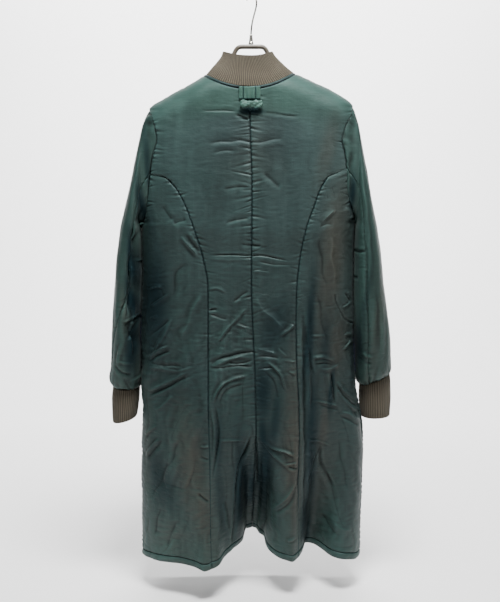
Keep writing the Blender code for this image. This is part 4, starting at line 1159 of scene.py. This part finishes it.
def paint_sheen_and_shade(obj, piece, grid, relief=None, added_painted_shade=0.0):
    """Colour attribute at each outer point: the amounts of brown (the neck band and painted brown
    sheen), painted green sheen and painted shade, and a tone that carries painted shade.

    The inner points are plain. The added painted shade adds to the painted shade, and relief paints
    shade in the creases and highlights on their crests.
    """
    x, z = grid[..., 0], grid[..., 2]
    kind = "back" if "back" in piece else piece
    wander = 9.0 * noise_field(grid, (40, 40, 90), 70)
    behind = np.clip(grid[..., 1] / 12.0 + 1.5, 0, 1)
    sheen_and_shade = {}
    for tint in ("brown_band_and_painted_sheen", "painted_shade"):
        sheen_and_shade[tint] = np.zeros(x.shape)
        for *place, strength in PAINTED_SHEEN_AND_SHADE[kind][tint] if kind in PAINTED_SHEEN_AND_SHADE else ():
            patch = soft_patch(x + 0.5 * wander, z, *place) * behind
            sheen_and_shade[tint] = np.maximum(sheen_and_shade[tint], strength * patch)
    brown_band_and_painted_sheen, painted_shade = sheen_and_shade["brown_band_and_painted_sheen"], np.maximum(sheen_and_shade["painted_shade"], added_painted_shade)
    # painted green sheen: a lighter, greener colour at the top of the back, on the sleeves and near the
    # hem
    softness = 10.0 + 45.0 * np.clip((np.abs(x) - 70.0) / 60.0, 0, 1)
    green = 1.0 / (1.0 + np.exp(-(z + 232.0) / softness * 3.0))
    if kind == "sleeve":
        green = np.maximum(green, 0.6)
    green = np.clip(green + 0.35 * np.clip((-z - 1020.0) / 120.0, 0, 1), 0, 1)
    # a brown band between the neck edge and its stitch row
    if piece == "back":
        below = edge_runs(grid)[3]
        brown_band_and_painted_sheen = np.maximum(brown_band_and_painted_sheen, 0.9 * np.clip(TOP_STITCH + 0.5 - below, 0, 1))
    tone_and_painted_shade = 1 + 0.16 * noise_field(grid, (17, 17, 80), 72)
    if relief is not None:
        # painted shade by height on the back, painted shade in creases and painted highlights on crests
        tone_and_painted_shade = tone_and_painted_shade * painted_crease_shade(relief) * (ease(PAINTED_SHADE_BY_HEIGHT, z) if kind == "back" else PLAIN_SHADE)
    if kind == "sleeve":
        tone_and_painted_shade = tone_and_painted_shade * (1 + 0.22 * noise_field(grid, (9, 9, 130), 73))
    # painted shade: the colour darkens where shade is painted
    tone_and_painted_shade = tone_and_painted_shade * (1 - 0.55 * painted_shade)
    values = np.full((len(obj.data.vertices), 4), INNER_SHEEN_AND_SHADE)
    values[:x.size] = np.stack([brown_band_and_painted_sheen, green, painted_shade, tone_and_painted_shade], axis=-1).reshape(-1, 4)
    add_values(obj, "sheen_and_shade", "FLOAT_COLOR", "color", values)


class Nodes:
    """Short way to build a material's node tree."""

    def __init__(self, name):
        self.material = bpy.data.materials.new(name)
        self.material.use_nodes = True
        self.tree = self.material.node_tree

    def put(self, socket, value):
        """Link an output to a socket, or set the socket to a number or a colour."""
        if isinstance(value, bpy.types.NodeSocket):
            self.tree.links.new(value, socket)
        elif socket.type == "RGBA":
            socket.default_value = (*value, 1.0)
        else:
            socket.default_value = value

    def add(self, kind, inputs=(), **settings):
        """Outputs of a new node; its inputs are pairs of a name or number and a value."""
        node = self.tree.nodes.new(kind)
        for key, value in settings.items():
            setattr(node, key, value)
        for key, value in inputs:
            self.put(node.inputs[key], value)
        return node.outputs

    def math(self, operation, first, second=0.0, clamp=False):
        values = enumerate((first, second))
        return self.add("ShaderNodeMath", values, operation=operation, use_clamp=clamp)[0]

    def mix(self, factor, first, second, blend="MIX"):
        values = ((0, factor), (6, first), (7, second))
        return self.add("ShaderNodeMix", values, data_type="RGBA", blend_type=blend)[2]

    def noise(self, vector, scale, detail=2.0, roughness=0.5):
        """Noise of one scale, or with a scale for each of x, y and z."""
        if isinstance(scale, tuple):
            vector = self.add("ShaderNodeMapping", (("Vector", vector), ("Scale", scale)))[0]
            scale = 1.0
        values = (("Vector", vector), ("Scale", scale), ("Detail", detail), ("Roughness", roughness))
        return self.add("ShaderNodeTexNoise", values)["Fac"]

    def span(self, value, low, high, to_low=0.0, to_high=1.0):
        """A value's place between low and high, as a number between two others."""
        return self.add("ShaderNodeMapRange", enumerate((value, low, high, to_low, to_high)))[0]

    def bump(self, height, distance, strength, normal=None):
        values = [("Height", height), ("Distance", distance), ("Strength", strength)]
        if normal is not None:
            values.append(("Normal", normal))
        return self.add("ShaderNodeBump", values)[0]

    def set(self, **values):
        """Set the shader's sockets, whose names have spaces for underscores."""
        for key, value in values.items():
            self.put(self.tree.nodes["Principled BSDF"].inputs[key.replace("_", " ")], value)


def nylon_material(name, plain=None):
    """Shot nylon with painted sheen: a greener colour is painted on faces turned up, a browner one on
    faces turned down or away.
    """
    tree = Nodes(name)
    place = tree.add("ShaderNodeTexCoord")
    spot = place["Object"]
    # painted sheen: faces turned up toward the sheen's way get a greener colour, faces turned away a
    # browner one
    turned = ((0, place["Normal"]), (1, PAINTED_SHEEN_WAY))
    turned = tree.add("ShaderNodeVectorMath", turned, operation="DOT_PRODUCT")["Value"]
    painted_sheen = tree.span(turned, -0.32, 0.34)
    sheen_and_shade = tree.add("ShaderNodeAttribute", attribute_name="sheen_and_shade")
    brown_band_and_painted_sheen, green, painted_shade = tree.add("ShaderNodeSeparateColor", ((0, sheen_and_shade["Color"]),))
    color = plain
    if plain is None:
        # painted brown sheen, stronger on faces turned down, over the painted green sheen from the
        # attribute
        brown_band_and_painted_sheen = tree.math("MULTIPLY", brown_band_and_painted_sheen, tree.span(painted_sheen, 0.0, 1.0, 1.15, 0.55), True)
        color = tree.mix(brown_band_and_painted_sheen, tree.mix(green, SHELL_TEAL, PAINTED_GREEN_SHEEN), BROWN_OF_BAND_AND_PAINTED_SHEEN)
    color = tree.mix(tree.span(painted_sheen, 0.0, 1.0, 0.20, 0.0), color, BROWN_OF_BAND_AND_PAINTED_SHEEN)
    color = tree.mix(tree.span(painted_sheen, 0.45, 1.0, 0.0, 0.35), color, PAINTED_GREEN_SHEEN)
    # painted shade: a dark navy colour where shade is painted
    color = tree.mix(painted_shade, color, PAINTED_SHADE_NAVY)
    threads = tree.noise(spot, (30.0, 30.0, 700.0), 3.0, 0.6)
    warp = tree.noise(spot, (700.0, 700.0, 14.0), 2.0, 0.6)
    uneven = tree.noise(spot, 9.0, 3.0, 0.55)
    tone_and_painted_shade = tree.span(threads, 0.3, 0.7, 0.88, 1.12)
    tone_and_painted_shade = tree.math("ADD", tone_and_painted_shade, tree.span(warp, 0.3, 0.7, -0.06, 0.06))
    tone_and_painted_shade = tree.math("ADD", tone_and_painted_shade, tree.span(uneven, 0.3, 0.7, -0.08, 0.08))
    # the attribute's alpha: tone with painted shade by height, in creases and at seams, and painted
    # highlights on crests
    tone_and_painted_shade = tree.math("MULTIPLY", tone_and_painted_shade, sheen_and_shade["Alpha"])
    color = tree.mix(1.0, color, tone_and_painted_shade, "MULTIPLY")
    crinkle = tree.noise(spot, (70.0, 70.0, 150.0), 4.0, 0.55)
    wrinkle = tree.noise(spot, (26.0, 26.0, 44.0), 2.0, 0.5)
    off_line = tree.span(tree.math("ABSOLUTE", tree.math("SUBTRACT", wrinkle, 0.5)), 0.0, 0.022)
    height = tree.add("ShaderNodeSeparateXYZ", ((0, spot),))[2]
    there = tree.math("MULTIPLY", tree.span(tree.noise(spot, 14.0, 1.0), 0.45, 0.58),
                      tree.span(height, -0.58, -0.42, 1.0, 0.0))
    line = tree.math("MULTIPLY", tree.math("SUBTRACT", 1.0, off_line), there)
    normal = tree.bump(crinkle, 0.0011, 0.6)
    normal = tree.bump(tree.math("SUBTRACT", 1.0, line), 0.0006, 0.55, normal)
    normal = tree.bump(threads, 0.0001, 0.3, normal)
    rough = tree.span(uneven, 0.3, 0.7, 0.52, 0.62)
    # reflections tinted darker and bluer where shade is painted
    gleam = tree.mix(painted_shade, (0.92, 1.0, 0.98), (0.35, 0.80, 0.90))
    tree.set(Base_Color=color, Roughness=rough, Normal=normal, Sheen_Weight=0.04,
             Sheen_Roughness=0.4, Sheen_Tint=(0.70, 0.80, 0.78), IOR=1.42,
             Specular_IOR_Level=0.32, Specular_Tint=gleam)
    return tree.material


def knit_material(name):
    """Matt rib knit, with shade painted dark in the valleys between its ribs."""
    tree = Nodes(name)
    spot = tree.add("ShaderNodeTexCoord")["Object"]
    fluff = tree.noise(spot, 900.0, 3.0, 0.6)
    mottle = tree.noise(spot, 28.0, 3.0, 0.6)
    courses = tree.noise(spot, (120.0, 120.0, 1400.0), 1.0, 0.5)
    color = tree.mix(tree.span(mottle, 0.3, 0.7, 0.0, 0.45), KNIT_TAUPE, KNIT_DARK)
    color = tree.mix(tree.span(fluff, 0.35, 0.65, 0.0, 0.35), color, KNIT_PALE)
    painted_rib_shade = tree.add("ShaderNodeAttribute", attribute_name="painted_rib_shade")["Fac"]
    color = tree.mix(tree.math("MULTIPLY", painted_rib_shade, 0.85), color, KNIT_PAINTED_SHADE)
    normal = tree.bump(courses, 0.0004, 0.5)
    normal = tree.bump(fluff, 0.0003, 0.5, normal)
    tree.set(Base_Color=color, Roughness=0.92, Normal=normal, Sheen_Weight=0.12,
             Sheen_Roughness=0.5, Sheen_Tint=(0.9, 0.85, 0.78), Specular_IOR_Level=0.25)
    return tree.material


def plain_material(name, color, roughness, metallic, grain, scale):
    """One colour with darker specks, a little uneven in roughness, and bumpy where grain isn't 0."""
    tree = Nodes(name)
    speck = tree.noise(tree.add("ShaderNodeTexCoord")["Object"], scale, 3.0)
    darker = tuple(part * 0.72 for part in color)
    tree.set(Base_Color=tree.mix(tree.span(speck, 0.35, 0.65), color, darker), Metallic=metallic,
             Roughness=tree.span(speck, 0.3, 0.7, roughness * 0.85, roughness * 1.15))
    if grain:
        tree.set(Normal=tree.bump(speck, grain, 0.6))
    return tree.material


def ring_tube(name, rings):
    """Closed body through rings of points: a tube with flat ends."""
    rings = np.array(rings, float)
    count, sides = rings.shape[:2]
    faces = quad_faces(count, sides, 0, True)
    faces.append(tuple(range(sides))[::-1])
    faces.append(tuple(range((count - 1) * sides, count * sides)))
    return mesh_object(name, rings.reshape(-1, 3) * MM, faces, 50)


def bar(name, line, radius, sides=20):
    """Round bar along a line of points; radius is one size or one for each point."""
    line = np.array(line, float)
    radii = np.broadcast_to(radius, len(line))
    ways = np.gradient(line, axis=0)
    ways /= np.linalg.norm(ways, axis=1, keepdims=True)
    side = np.cross(ways[0], (0.0, 1.0, 0.0))
    if np.linalg.norm(side) < 0.1:
        side = np.cross(ways[0], (1.0, 0.0, 0.0))
    rings = []
    angles = np.arange(sides) * 2 * math.pi / sides
    for point, way, size in zip(line, ways, radii):
        side = side - way * (side @ way)
        side = side / np.linalg.norm(side)
        up = np.cross(way, side)
        rings.append(point + size * (np.outer(np.cos(angles), side) + np.outer(np.sin(angles), up)))
    return ring_tube(name, rings)


def curve_through(points, step):
    """Smooth line of points through given ones, a step apart."""
    line = np.array(points, float)
    places = runs(point_gaps(line))
    spots = np.linspace(0.0, places[-1], max(2, int(places[-1] / step)))
    return smooth_read(line, places, spots)


def round_edge(distance, half):
    """How far a wall's face draws in near an edge that is rounded to half of the wall."""
    return half * (1 - rounded(distance / half))


def neck_line():
    """Neck edge of the body, round from the right front over the back to the left front."""
    right = [*front_panel("right", NECK_CELL)[-1], *back_panel("right", NECK_CELL)[-1][-2::-1]]
    left = [*back_panel("left", NECK_CELL)[-1][1:], *front_panel("left", NECK_CELL)[-1][-2::-1]]
    ends = [point * np.array([0.2, 1.0, 1.0]) for point in (right[0], left[-1])]
    return np.array([ends[0], *right, *left, ends[1]])


def collar_rows(spread):
    """Rows of the collar, from its foot on the neck edge to its top, at places round the neck."""
    edge = neck_line()
    wide = np.where(edge[:, 0] > 0, NECK_X["left"], NECK_X["right"])
    places = (np.arctan2(-edge[:, 0] / wide, -edge[:, 1] / NECK_DEPTH) / (2 * math.pi)) % 1.0
    base = np.stack([np.interp(spread, places, edge[:, k]) for k in range(3)], axis=-1)
    rows = [base + np.array([0.0, 0.0, COLLAR_FOOT])]
    angle = -math.pi / 2 - spread * 2 * math.pi
    wide, deep = np.cos(angle), np.sin(angle)
    for left, right, back, front, z_back, z_side, z_front, square in COLLAR:
        x = np.sign(wide) * np.where(wide > 0, left, right) * np.abs(wide) ** square
        y = np.sign(deep) * np.where(deep > 0, back, front) * np.abs(deep) ** square
        z = np.where(deep > 0, z_back, z_front)
        rows.append(stack(x, y, z + (z_side - z) * np.abs(wide) ** 2.2))
    return rows


def knit_band(name, grid, guide, ribs, wrap, wander):
    """Rib knit: ribs on both sides of a soft wall with rounded edges."""
    columns = grid.shape[1]
    up, down = edge_runs(grid)[2:]
    phase = np.arange(columns) / columns * ribs * 2 * math.pi
    wave = 0.5 + 0.5 * np.cos(phase + wander * noise_field(grid, (14, 14, 26), 31))
    rib = RIB_HEIGHT * wave ** 0.8 * (1 + 0.18 * noise_field(grid, (7, 7, 9), 33))
    swell = 0.9 * noise_field(grid, (30, 30, 22), 35)
    edge = round_edge(np.minimum(up, down), KNIT_WALL / 2 - 0.2)
    relief = rib + swell - edge - 0.3
    under = rib * 0.8 - swell - edge - 0.3
    obj = build_shell(name, grid, relief, guide, KNIT_WALL - 0.6, 1, wrap, under)
    # painted shade in the valleys between the ribs
    painted_rib_shade = (1 - wave).astype(np.float32) ** 1.5
    add_values(obj, "painted_rib_shade", "FLOAT", "value", [painted_rib_shade, painted_rib_shade])
    return obj


def knit_rows(rows, step):
    """Rows of a knit band, closer together by its two edges."""
    grid = np.array(rows)
    gaps = row_gaps(grid)
    total = gaps.sum()
    near = np.array([0.0, 0.25, 0.6, 1.1, 1.8])
    inner = np.linspace(3.4, total - 3.4, int(total / step))
    spots = np.concatenate([near, inner, (total - near)[::-1]])
    return smooth_read(grid, runs(gaps), spots)


def evened(row, count):
    """A row's points read again at even distances along it."""
    places = runs(point_gaps(row))
    spots = np.linspace(0.0, places[-1], count)
    return np.stack([np.interp(spots, places, row[:, k]) for k in range(3)], axis=-1)


def build_collar(material):
    """Stand collar, open at the front."""
    spread = np.linspace(COLLAR_GAP, 1 - COLLAR_GAP, COLLAR_RIBS * RIB_POINTS + 1)
    grid = knit_rows([evened(row, len(spread)) for row in collar_rows(spread)], 3.4)
    obj = knit_band("collar_knit", grid, -1, COLLAR_RIBS, False, 0.5)
    declare(obj, "rib_knit", material, "collar")


def build_cuff(side, material):
    """Knit cuff, closed all round."""
    count = CUFF_RIBS * RIB_POINTS
    angle = 2 * math.pi * np.arange(count) / count
    rows = [tube_ring(side, ring, CUFF_POWER, angle, CUFF_Y) for ring in CUFF[side]]
    obj = knit_band("cuff_knit_" + side, knit_rows(rows, 3.6), -SIDES[side], CUFF_RIBS, True, 0.8)
    declare(obj, "rib_knit", material, "cuff_" + side)


def build_strap(material):
    """Gathered strap at the back of the neck with two stitch lines."""
    (left, right), (top, foot) = STRAP["x"], STRAP["z"]
    x, z = np.meshgrid(np.linspace(left, right, 60), np.linspace(foot, top, 40))
    puff = 0.8 * np.cos((x - 2.5) / 20.0 * math.pi / 2)
    y = np.where(x > 0, body_y("left", "back", x, z), body_y("right", "back", x, z))
    grid = stack(x, y + STRAP["gap"] + STRAP["wall"] + puff, z)
    fall = np.clip((top - z) / (top - foot), 0, 1)
    relief = np.zeros(x.shape)
    for foot_x, top_x, height, width in STRAP_GATHERS:
        centre = foot_x + (top_x - foot_x) * (1 - fall)
        relief += height * fall ** 1.4 * bell(x - centre, width)
    for line in STRAP_STITCHES:
        relief += stitch_groove(x - line, 1.9, 0.9)
    edge = np.minimum.reduce([x - left, right - x, z - foot, top - z])
    relief -= round_edge(edge, 1.1)
    relief += 0.25 * noise_field(grid, (6, 6, 5), 41)
    obj = build_shell("strap_cloth", grid, relief, -1, 0.9)
    # painted shade in the two stitch grooves and along the strap's foot above the roll
    added_painted_shade = [0.8 * bell(x - line, 0.9) for line in STRAP_STITCHES]
    added_painted_shade = np.maximum.reduce([*added_painted_shade, 0.7 * bell(z - foot, 2.2)])
    paint_sheen_and_shade(obj, "strap", grid, None, added_painted_shade)
    declare(obj, "strap_nylon", material, "neck_strap")


def build_roll(material):
    """Rolled loop of cloth below the strap, crumpled and slightly twisted."""
    rings = []
    angles = np.arange(ROLL_SIDES) * 2 * math.pi / ROLL_SIDES
    for share in np.linspace(0.0, 1.0, ROLL_RINGS):
        x = ROLL["x"][0] + (ROLL["x"][1] - ROLL["x"][0]) * share
        middle = math.sin(math.pi * share)
        close = rounded(min(share, 1 - share) / 0.09) * 0.75 + 0.25
        swell = (0.82 + 0.18 * middle + 0.05 * math.cos(7 * share * math.pi)) * close
        twist = angles - share * 2.6
        fold = 0.16 * np.cos(3 * twist + 0.6) + 0.09 * np.cos(5 * twist - share * 9.0)
        fold = fold + 0.07 * np.sin(8 * angles + share * 23.0) * middle
        high = ROLL["half_height"] * swell * (1 + fold) * np.cos(angles)
        deep = ROLL["half_depth"] * swell * (1 + fold) * np.sin(angles)
        y = float(body_y("left", "back", abs(x), ROLL["z"])) + ROLL["gap"] + ROLL["half_depth"] + deep
        rings.append(stack(x, y, ROLL["z"] - 1.6 * middle + high))
    obj = ring_tube("roll_cloth", rings)
    rings = np.array(rings)
    # painted shadow on the roll's underside
    fall = (ROLL["z"] - 1.0 - rings[..., 2]) / ROLL["half_height"]
    paint_sheen_and_shade(obj, "roll", rings, None, np.clip((fall - 0.40) * 1.5, 0, 0.85))
    declare(obj, "strap_nylon", material, "neck_roll")


def build_pocket(side, material):
    """Pocket cloth bulging at the mouth in the side seam."""
    top, bottom, stand = POCKET_SPAN[side]
    z, angle = np.meshgrid(np.linspace(bottom, top, 60), np.linspace(-math.pi / 2, math.pi / 2, 24),
                           indexing="ij")
    half = mouth_gap(side, z) - 0.7
    swell = np.sin(math.pi * (z - bottom) / (top - bottom))
    reach = 2.0 + (stand - 2.0) * (0.35 + 0.65 * swell)
    out = (reach + POCKET_DEPTH) * np.cos(angle) ** 0.7 - POCKET_DEPTH
    grid = stack(SIDES[side] * (half_width(side, z) + out), half * np.sin(angle), z)
    relief = 1.1 * noise_field(grid, (14, 14, 11), 51) + 0.6 * noise_field(grid, (7, 7, 6), 52) - 0.4
    obj = build_shell("pocket_cloth_" + side, grid, relief, SIDES[side], 0.6)
    declare(obj, "pocket_cloth", material, "pocket_" + side)
    flat_size(grid)
    flat_area(grid)


def build_zip(side, tape_material, metal):
    """Zip tape and the row of teeth along its edge."""
    sign = SIDES[side]
    z, x = np.meshgrid(np.linspace(*TAPE_Z, 200), np.linspace(*TAPE_X, 6), indexing="ij")
    y = body_y(side, "front", FRONT_EDGE_X, z) + SHELL_WALL + TAPE_BEHIND
    obj = build_shell("tape_cloth_" + side, stack(sign * x, y, z), np.zeros(x.shape), sign, 0.7, 1)
    declare(obj, "zip_tape", tape_material, "zip_tape_" + side)
    verts, faces = [], []
    corner = np.array([(a, b, c) for a in (-1, 1) for b in (-1, 1) for c in (-1, 1)], float)
    sides = ((0, 1, 3, 2), (4, 6, 7, 5), (0, 4, 5, 1), (2, 3, 7, 6), (0, 2, 6, 4), (1, 5, 7, 3))
    for level in np.arange(TOOTH_TOP[side], TAPE_Z[0] + 1.5, -TOOTH_PITCH):
        depth = float(body_y(side, "front", FRONT_EDGE_X, level)) + SHELL_WALL + TEETH_BEHIND
        faces += [tuple(len(verts) + k for k in side_faces) for side_faces in sides]
        verts += list(corner * np.array(TOOTH_HALF) + np.array([sign * TOOTH_X, depth, level]))
    teeth = mesh_object("zip_teeth_" + side, np.array(verts) * MM, faces, 30)
    declare(teeth, "zip_metal", metal)


def build_hanger(plastic, metal):
    """Hanger's arch and arms in one bar, the ferrule and the wire hook."""
    arm = [(-x, 0.0, z) for x, z in reversed(ARM_LINE[1:])] + [(x, 0.0, z) for x, z in ARM_LINE[1:]]
    line = curve_through(arm, 3.0)
    near_end = np.minimum(line[:, 0] - arm[0][0], arm[-1][0] - line[:, 0])
    obj = bar("hanger_arm", line, HANGER_RADIUS * (0.5 + 0.5 * rounded(near_end / 4)), 28)
    declare(obj, "hanger_plastic", plastic, "hanger_body")
    ferrule = bar("hook_ferrule", [(0.0, 0.0, z) for z, _ in FERRULE], [r for _, r in FERRULE], 36)
    declare(ferrule, "hanger_metal", metal, "hanger_ferrule")
    bend = HOOK_RADIUS * np.array([(math.cos(angle), math.sin(angle)) for angle in HOOK_ANGLES])
    points = [*STEM, *(bend + (0.0, WIRE_RADIUS - HOOK_RADIUS))]
    turn_x, turn_y = -math.cos(HOOK_TURN), math.sin(HOOK_TURN)
    line = curve_through([(turn_x * out, turn_y * out, z) for out, z in points], 1.2)
    hook = bar("hook_wire", line, WIRE_RADIUS)
    declare(hook, "hanger_metal", metal, "hanger_hook")


def sleeve_gap(side, z):
    """Gap between the side seam and the sleeve's inner side at a height."""
    rings = np.array(sorted((ring[3], ring[2]) for ring in SLEEVE[side])).T
    gap = np.interp(z, *rings) - half_width(side, z)
    inside = np.clip((z - rings[0][0]) / 20.0, 0, 1) * np.clip((GAP_TOP - z) / 14.0, 0, 1)
    return np.clip(gap, 0.0, 8.0) * inside


def facing_back(normals):
    return soft_step((normals[..., 1] + 0.15) / 0.4)


def back_relief(side, piece, grid):
    """Relief of a centre or side back piece."""
    x, z = grid[..., 0], grid[..., 2]
    first, last, up, down = edge_runs(grid)
    seed = sum(ord(letter) for letter in piece + side)
    relief = drape(grid, seed) + 1.7 * crinkles(grid, z, 300) + folds(grid, 500)
    relief += crease_relief(x, z, BACK_CREASES, 5)
    upper = ease(GATHERED, z)
    if piece == "back":
        relief += seam_groove(first) + seam_groove(last)
        relief += upper * gathers("centre", z, first, seed + 1)
        relief += upper * gathers("princess_inner", z, last, seed + 2)
        relief = relief * (1 - fading(down, 2.5)) + stitch_groove(down - TOP_STITCH, 1.8, 1.1)
        relief += 0.4 * bell(down - TOP_STITCH / 2, 2.2) - 0.9 * fading(down, 0.9)
    else:
        relief += seam_groove(first) + edge_groove(last)
        relief += upper * gathers("princess_outer", z, first, seed + 1)
        relief += gathers("side_back", z, last, seed + 2)
        relief += pocket_relief(side, x, z)
        relief -= 1.5 * fading(down, 3.0)
        relief += 0.4 * sleeve_gap(side, z) * bell(last, 22.0)
    return relief + hem_relief(up)


def pocket_relief(side, x, z):
    """Stitch line round the pocket bag, with a slight puff on both sides of it."""
    mask, signed = near_line(x, z, POCKET_STITCH[side], 9.0)[:2]
    relief = np.zeros(x.shape)
    relief[mask] = stitch_groove(signed, 1.3, 1.3) + 0.5 * bell(np.abs(signed) - 4.0, 2.5)
    return relief


def front_relief(side, grid):
    """Relief of a front piece."""
    x, z = grid[..., 0], grid[..., 2]
    first, last, up, down = edge_runs(grid)
    seed = 40 if side == "left" else 60
    relief = drape(grid, seed) + 0.8 * crinkles(grid, z, 700)
    relief += crease_relief(x, z, FRONT_CREASES, seed + 3, SIDES[side])
    relief += edge_groove(last) + gathers("side_front", z, last, seed + 2)
    relief += 0.4 * sleeve_gap(side, z) * bell(last, 22.0)
    relief += gathers("front_edge", z, first, seed + 1)
    relief += stitch_groove(first - EDGE_STITCH, 1.0, 1.3) - fading(first, 1.2)
    relief -= 1.2 * fading(down, 2.5)
    return relief + hem_relief(up)


def sleeve_relief(side, part, grid):
    """Relief of an upper or under sleeve; the seen creases are on its back."""
    x, z = grid[..., 0], grid[..., 2]
    first, last, up, down = edge_runs(grid)
    seed = {"upper": 80, "under": 90}[part] + (5 if side == "left" else 0)
    normals = normals_of(grid, -SIDES[side])
    back = facing_back(normals)
    inward = np.clip(-SIDES[side] * normals[..., 0], 0, 1)
    relief = drape(grid, seed) * 0.8 + 0.75 * crinkles(grid, z, 900 + seed)
    relief += 1.1 * noise_field(grid, (11, 11, 110), seed + 20)
    relief *= 1 - 0.6 * inward
    relief += 0.85 * sleeve_gap(side, z) * inward ** 2
    relief += back * crease_relief(x, z, SLEEVE_CREASES[side], seed)
    relief += (1 - back) * crease_relief(x, z, SLEEVE_FRONT_CREASES, seed + 1, SIDES[side])
    relief += seam_groove(first) + seam_groove(last)
    relief += gathers("sleeve", z, first, seed + 2) + gathers("sleeve", z, last, seed + 3)
    ring = np.broadcast_to(runs(point_gaps(grid[-1])), x.shape)
    relief += gathers("armhole", ring, down, seed + 4)
    relief += gathers("cuff", ring, up, seed + 5)
    relief -= 1.6 * fading(up, 2.2) + 1.0 * fading(up, 9.0)
    return relief + stitch_groove(down - TOP_STITCH, 1.5, 1.1) - 1.4 * fading(down, 2.0)


def painted_seam_shade(piece, grid):
    """How dark the cloth's colour is made with painted shade along its seams, its hem stitching and the
    stitching at the neck, and with a painted shadow along the neck edge.
    """
    first, last, up, down = edge_runs(grid)
    darks = [0.75 * bell(first, 1.3), 0.5 * bell(up - HEM_STITCH, 1.2)]
    if piece == "back":
        darks += [0.75 * bell(last, 1.3), 0.85 * bell(down - TOP_STITCH, 1.3), 0.8 * bell(down, 1.6),
                  0.55 * np.clip((TOP_STITCH - down) / 1.5, 0, 1)]
    return np.maximum.reduce(darks)


def build_cloth(material):
    """All pieces of the nylon shell."""
    for side, sign in SIDES.items():
        pieces = []
        for kind, maker in (("back", back_panel), ("side_back", side_back_panel)):
            grid = maker(side, CELL[kind])
            pieces.append((kind + "_" + side, kind, grid, back_relief(side, kind, grid), -sign))
        grid = front_panel(side, CELL["front"])
        pieces.append(("front_" + side, "front", grid, front_relief(side, grid), sign))
        for part in ("upper", "under"):
            grid = sleeve_half(side, part, CELL["sleeve"])
            relief = sleeve_relief(side, part, grid)
            pieces.append((part + "_sleeve_" + side, "sleeve", grid, relief, -sign))
        for name, kind, grid, relief, guide in pieces:
            obj = build_shell(name + "_cloth", grid, relief, guide)
            # painted shade along the seams and stitching; the sleeves get none
            added_painted_shade = 0.0 if kind == "sleeve" else painted_seam_shade(kind, grid)
            paint_sheen_and_shade(obj, kind, grid, relief, added_painted_shade)
            declare(obj, "shell_nylon", material, name)
            flat_size(grid)
            flat_area(grid)


def flat_size(grid):
    """Greatest width along the rows and length along the columns, in metres."""
    width = np.linalg.norm(np.diff(grid, axis=1), axis=2).sum(axis=1).max()
    length = np.linalg.norm(np.diff(grid, axis=0), axis=2).sum(axis=0).max()
    return float(width) * MM, float(length) * MM


def flat_area(grid):
    """Area of a grid's faces, in square metres."""
    a, b, c, d = grid[:-1, :-1], grid[:-1, 1:], grid[1:, 1:], grid[1:, :-1]
    doubled = sum(np.linalg.norm(np.cross(p - a, q - a), axis=2) for p, q in ((b, c), (c, d)))
    return float(doubled.sum() / 2 * MM * MM)


def build_stage():
    """Pale floor that curves up into a backdrop."""
    profile = [(FLOOR_END, FLOOR_Z)]
    for angle in np.radians(np.arange(0, 91, 2)):
        profile.append((CURVE_Y - CURVE_RADIUS * math.sin(angle),
                        FLOOR_Z + CURVE_RADIUS * (1 - math.cos(angle))))
    profile.append((CURVE_Y - CURVE_RADIUS, BACKDROP_TOP))
    verts = [(x, y, z) for y, z in profile for x in (-FLOOR_HALF, FLOOR_HALF)]
    faces = [(2 * k, 2 * k + 1, 2 * k + 3, 2 * k + 2) for k in range(len(profile) - 1)]
    obj = mesh_object("backdrop", verts, faces)
    paper = Nodes("backdrop_paper")
    paper.set(Base_Color=PAPER, Roughness=0.9)
    obj.data.materials.append(paper.material)


def aimed(name, data, place, way):
    """A light or camera at a place, looking along a way."""
    obj = linked(name, data)
    obj.location = place
    obj.rotation_euler = Vector(way).to_track_quat("-Z", "Y").to_euler()
    return obj


def build_studio():
    """Lights from above and both sides, a light for the backdrop, and the camera."""
    world = bpy.data.worlds.new("studio")
    bpy.context.scene.world = world
    world.use_nodes = True
    background = world.node_tree.nodes["Background"]
    background.inputs[0].default_value = (1.0, 1.0, 1.0, 1.0)
    background.inputs[1].default_value = WORLD_STRENGTH
    for name, place, aim, size, watts in LIGHTS:
        data = bpy.data.lights.new(name, "AREA")
        data.shape = "RECTANGLE"
        data.size, data.size_y = size
        data.energy = watts
        aimed(name, data, place, Vector(aim) - Vector(place))
    data = bpy.data.cameras.new("camera")
    data.lens = CAMERA_LENS
    data.sensor_width = CAMERA_SENSOR
    way = (0.0, -math.cos(CAMERA_PITCH), -math.sin(CAMERA_PITCH))
    bpy.context.scene.camera = aimed("camera", data, CAMERA_PLACE, way)


def main():
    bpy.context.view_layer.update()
    build_cloth(nylon_material("shot_nylon"))
    plain = {name: plain_material(name, *looks) for name, looks in PLAIN.items()}
    knit = knit_material("taupe_rib")
    build_collar(knit)
    for side in SIDES:
        build_cuff(side, knit)
        build_pocket(side, plain["navy_cloth"])
        build_zip(side, plain["black_tape"], plain["zip_metal"])
    green = nylon_material("green_nylon", STRAP_GREEN)
    build_strap(green)
    build_roll(green)
    build_hanger(plain["hanger_plastic"], plain["hanger_chrome"])
    for node in ("zip_slider", "zip_pull", "zip_box"):
        materials = bpy.data.objects[node].data.materials
        materials.clear()
        materials.append(plain["zip_metal"])
    build_stage()
    build_studio()


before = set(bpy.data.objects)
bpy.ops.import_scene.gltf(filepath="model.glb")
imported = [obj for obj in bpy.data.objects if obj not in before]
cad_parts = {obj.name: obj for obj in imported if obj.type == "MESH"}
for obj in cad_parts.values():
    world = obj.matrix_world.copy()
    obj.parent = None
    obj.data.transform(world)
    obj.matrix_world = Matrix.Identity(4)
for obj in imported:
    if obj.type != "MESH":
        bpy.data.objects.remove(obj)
main()
